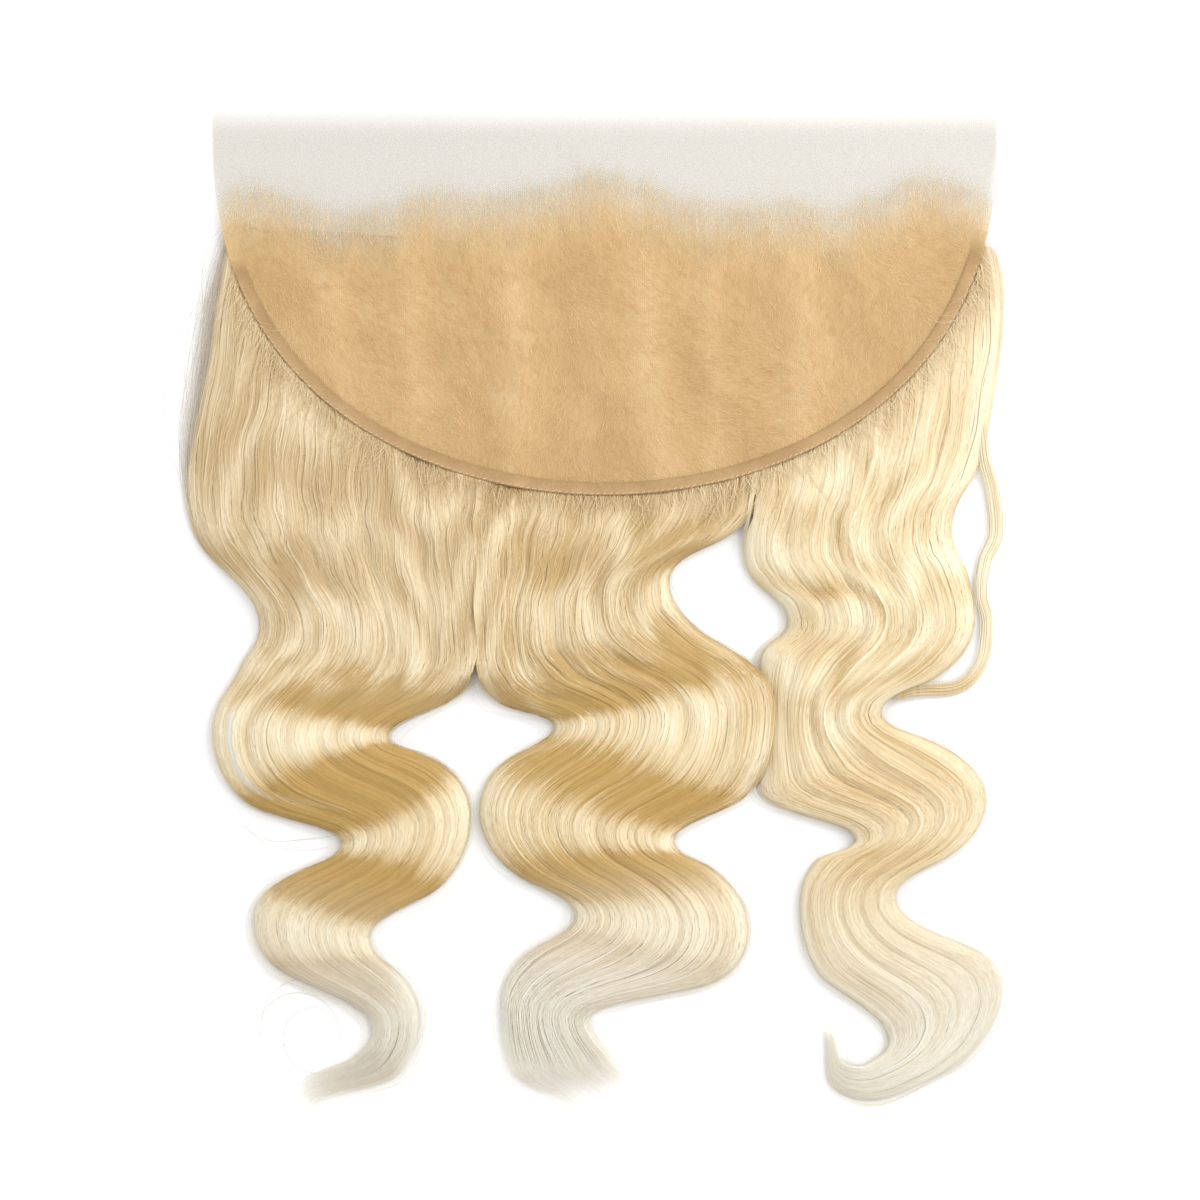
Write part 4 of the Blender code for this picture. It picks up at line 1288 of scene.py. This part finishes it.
@dataclass
class StrayHairs:
    """Single hairs that stand off the edges of the falls, and a few that curl away as loops."""

    flows: Sequence[Flow]
    hairs: int = 80
    fringe_hairs: int = 110
    farthest: float = 11.0
    steps: int = 34
    seed: int = 91

    def beside(self, flow: Flow, rng: np.random.Generator) -> Array:
        """Returns the paths of hairs that leave an edge of a fall, run beside it and come back."""
        count = self.hairs
        s = steps_along(self.steps)
        start = rng.uniform(0.20, 0.85, count)[:, None]
        v = start + rng.uniform(0.06, 0.22, count)[:, None] * s
        away = np.minimum(rng.gamma(2.0, 1.5, count), self.farthest)[:, None]
        away = away * np.sin(np.pi * s ** rng.uniform(0.7, 1.4, count)[:, None])
        away = away / flow.width(np.clip(v, 0.0, 1.0))
        right = rng.random(count)[:, None] < 0.5
        u = np.where(right, 0.99 + away, 0.01 - away)
        x, y = flow.place(u, np.clip(v, 0.0, 1.03))
        return joined_up(x, y, 0.8 + 2.0 * rng.random(count)[:, None])

    def fringe(self, rng: np.random.Generator) -> Array:
        """Returns the paths of the thin fringe beside the left fall, from the lace's corner down."""
        count = self.fringe_hairs
        s = steps_along(self.steps)
        start = rng.uniform(0.02, 0.12, count)[:, None]
        v = start + rng.uniform(0.08, 0.20, count)[:, None] * s
        away = rng.gamma(2.0, 0.019, count)[:, None] * np.sin(np.pi * (0.15 + 0.8 * s))
        x, y = self.flows[0].place(0.02 - away * (1.0 - smooth(0.1, 0.3, v)), v)
        return joined_up(x, y, 1.0 + 1.5 * rng.random(count)[:, None])

    def loops(self, rng: np.random.Generator) -> Array:
        """Returns the paths of the loops: arcs whose radius grows a little as they open."""
        x, y, radius, start, sweep = np.array(LOOPS).T
        s = steps_along(self.steps)
        radius = radius[:, None] * (1.0 + 0.12 * s + 0.03 * np.sin(7.0 * s))
        px, py = arcs(x, y, np.radians(start), np.radians(sweep), radius)
        return joined_up(px, py, 0.4 + 0.8 * s * rng.random(len(x))[:, None])

    def build(self, light: Material, grey: Material) -> list[Object]:
        """Makes the hairs that stand off the edges, and in a finish with a painted grey shade the fringe and
        the loops.

        Args:
            light: the hair material.
            grey: the material of single hairs that lie in their own shade, whose grey tip colour is painted
                shade.

        Returns:
            The two pieces.
        """
        rng = np.random.default_rng(self.seed)
        s = steps_along(self.steps)
        beside = np.concatenate([self.beside(flow, rng) for flow in self.flows])
        loose = np.concatenate([self.fringe(rng), self.loops(rng)])
        pieces = []
        kinds = (("stray_hairs", beside, 0.6, light), ("loose_hairs", loose, 0.7, grey))
        for name, paths, tip, finish in kinds:
            wide = rng.uniform(0.05, 0.09, len(paths))[:, None] * (1.0 - 0.5 * np.abs(2.0 * s - 1.0) ** 2)
            values = plain_values(paths, 0.5, 0.4, tip=tip)
            pieces.append(make_piece(name, ribbon_patch(paths, wide), values, finish))
        return pieces


def mesh_area(piece: Object) -> float:
    """Returns the area of a piece's faces in square metres."""
    numbers = np.empty(len(piece.data.polygons), np.float32)
    piece.data.polygons.foreach_get("area", numbers)
    return float(numbers.sum())


class Lamp(NamedTuple):
    """A soft square lamp: its name, its place and width in metres, and its power in watts."""

    name: str
    place: tuple[float, float, float]
    size: float
    power: float


LAMPS = (
    Lamp("key", (1.1, 0.6, 1.2), 1.1, 19.0),
    Lamp("fill", (-0.6, 0.5, 1.4), 1.4, 5.0),
)


@dataclass
class Studio:
    """A white floor, soft light from above and the camera of the photograph."""

    floor_size: float = 4.0
    floor_z: float = -0.0003
    paper: Colour = (0.93, 0.93, 0.93)
    sky_strength: float = 0.78

    def build(self) -> None:
        """Makes the floor, the lights, the sky and the camera."""
        scene = bpy.context.scene
        scene.view_settings.view_transform = "Standard"
        self.floor()
        self.sky(scene)
        for lamp in LAMPS:
            self.lamp(lamp)
        camera = bpy.data.cameras.new("camera")
        camera.sensor_width = SENSOR
        camera.lens = SENSOR * CAMERA_HEIGHT / (PHOTO_PIXELS * MM_A_PIXEL * MM)
        camera.clip_end = 20.0
        holder = bpy.data.objects.new("camera", camera)
        holder.location = (FRAME_CENTRE[0] * MM, FRAME_CENTRE[1] * MM, CAMERA_HEIGHT)
        scene.collection.objects.link(holder)
        scene.camera = holder

    def floor(self) -> None:
        """Makes the white surface that the piece lies on."""
        half = self.floor_size / 2.0
        mesh = bpy.data.meshes.new("floor")
        corners = [(x * half, y * half, self.floor_z) for x, y in ((-1, -1), (1, -1), (1, 1), (-1, 1))]
        mesh.from_pydata(corners, [], [(0, 1, 2, 3)])
        piece = bpy.data.objects.new("floor", mesh)
        bpy.context.collection.objects.link(piece)
        graph = Graph("white_paper")
        piece.data.materials.append(graph.finish(self.paper, 0.9, Specular_IOR_Level=0.1))

    def sky(self, scene: bpy.types.Scene) -> None:
        """Lights the scene evenly with a white sky."""
        world = bpy.data.worlds.new("sky")
        world.use_nodes = True
        back = world.node_tree.nodes["Background"]
        back.inputs["Color"].default_value = (1.0, 1.0, 1.0, 1.0)
        back.inputs["Strength"].default_value = self.sky_strength
        scene.world = world

    @staticmethod
    def lamp(lamp: Lamp) -> None:
        """Adds a lamp that faces the middle of the floor."""
        light = bpy.data.lights.new(lamp.name, "AREA")
        light.size = lamp.size
        light.energy = lamp.power
        holder = bpy.data.objects.new(lamp.name, light)
        holder.location = lamp.place
        x, y, z = lamp.place
        holder.rotation_euler = (math.acos(z / math.sqrt(x * x + y * y + z * z)), 0.0, math.atan2(x, -y))
        bpy.context.collection.objects.link(holder)


class Finishes:
    """Every material of the hairpiece, made once."""

    def __init__(self) -> None:
        """Makes the materials."""
        self.hair = HairFinish("blonde_hair").make()
        self.body = HairFinish("blonde_body", see_through=True).make()
        # The grey tip colour is painted shade for the fringe, which lies in its own shadow, and the greyish
        # brown of the loops.
        self.stray = HairFinish("shaded_stray_hair", tip=(0.50, 0.48, 0.43)).make()
        self.roots = HairFinish(
            "root_hair", gold=(0.62, 0.38, 0.15), honey=(0.84, 0.60, 0.31), pale=(0.98, 0.82, 0.54)
        ).make()
        self.mat = MatFinish("hair_felt").make()
        self.net = NetFinish("lace_net").make()
        self.hem = HemFinish("hem_cloth").make()
        thread = Graph("hem_thread")
        twist = thread.noise(thread.place(), 2500.0)
        colour = thread.mix(twist, (0.66, 0.50, 0.32), (0.86, 0.72, 0.54))
        self.thread = thread.finish(colour, 0.6)


def settle(pieces: Iterable[Object]) -> None:
    """Lets pieces ride on the one body, and reports them."""
    for piece in pieces:
        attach(piece, "root")
        LOG.info("%s: %d triangles", piece.name, 2 * len(piece.data.polygons))


def main() -> None:
    """Builds the studio and every piece, in order."""
    logging.basicConfig(level=logging.INFO, format="%(message)s")
    Studio().build()
    finishes = Finishes()
    left = Flow(LEFT_ROWS, open_left=True, joins=(Join(1, -1.0, 0.365),))
    middle = Flow(MIDDLE_ROWS, joins=(Join(0, -1.0, 0.365), Join(1, -1.0, 0.22), Join(1, 0.445, 0.51)))
    right = Flow(RIGHT_ROWS, open_right=True, joins=(Join(0, -1.0, 0.19),))
    apart = (Parted(0.095, 0.19, 0.44, 0.565),)
    # Each fall's tone shift is partly painted light, darker on the left and lighter on the right; straight
    # and swing set the strength of its painted highlight at the turns.
    falls = [
        HairFall("left_fall", left, seed=11, tone_and_side_light=-0.34, straight=0.66, swing=1.35, pale_from=0.64,
                 ashen=0.14, parted=apart),
        HairFall("middle_fall", middle, seed=12, tone_and_side_light=-0.10, pale_from=0.62),
        HairFall("right_fall", right, seed=13, tone_and_side_light=0.76, straight=0.30, swing=0.30, pale_from=0.60,
                 ashen=0.0),
    ]
    for fall in falls:
        settle(fall.build(finishes.hair, finishes.body))
    settle([SideWisp().build(finishes.hair), Frizz().build(finishes.hair)])
    settle(StrayHairs((left, middle, right)).build(finishes.hair, finishes.stray))
    for slot, pieces in LacePanel().build(finishes).items():
        settle(pieces)


if __name__ == "__main__":
    main()
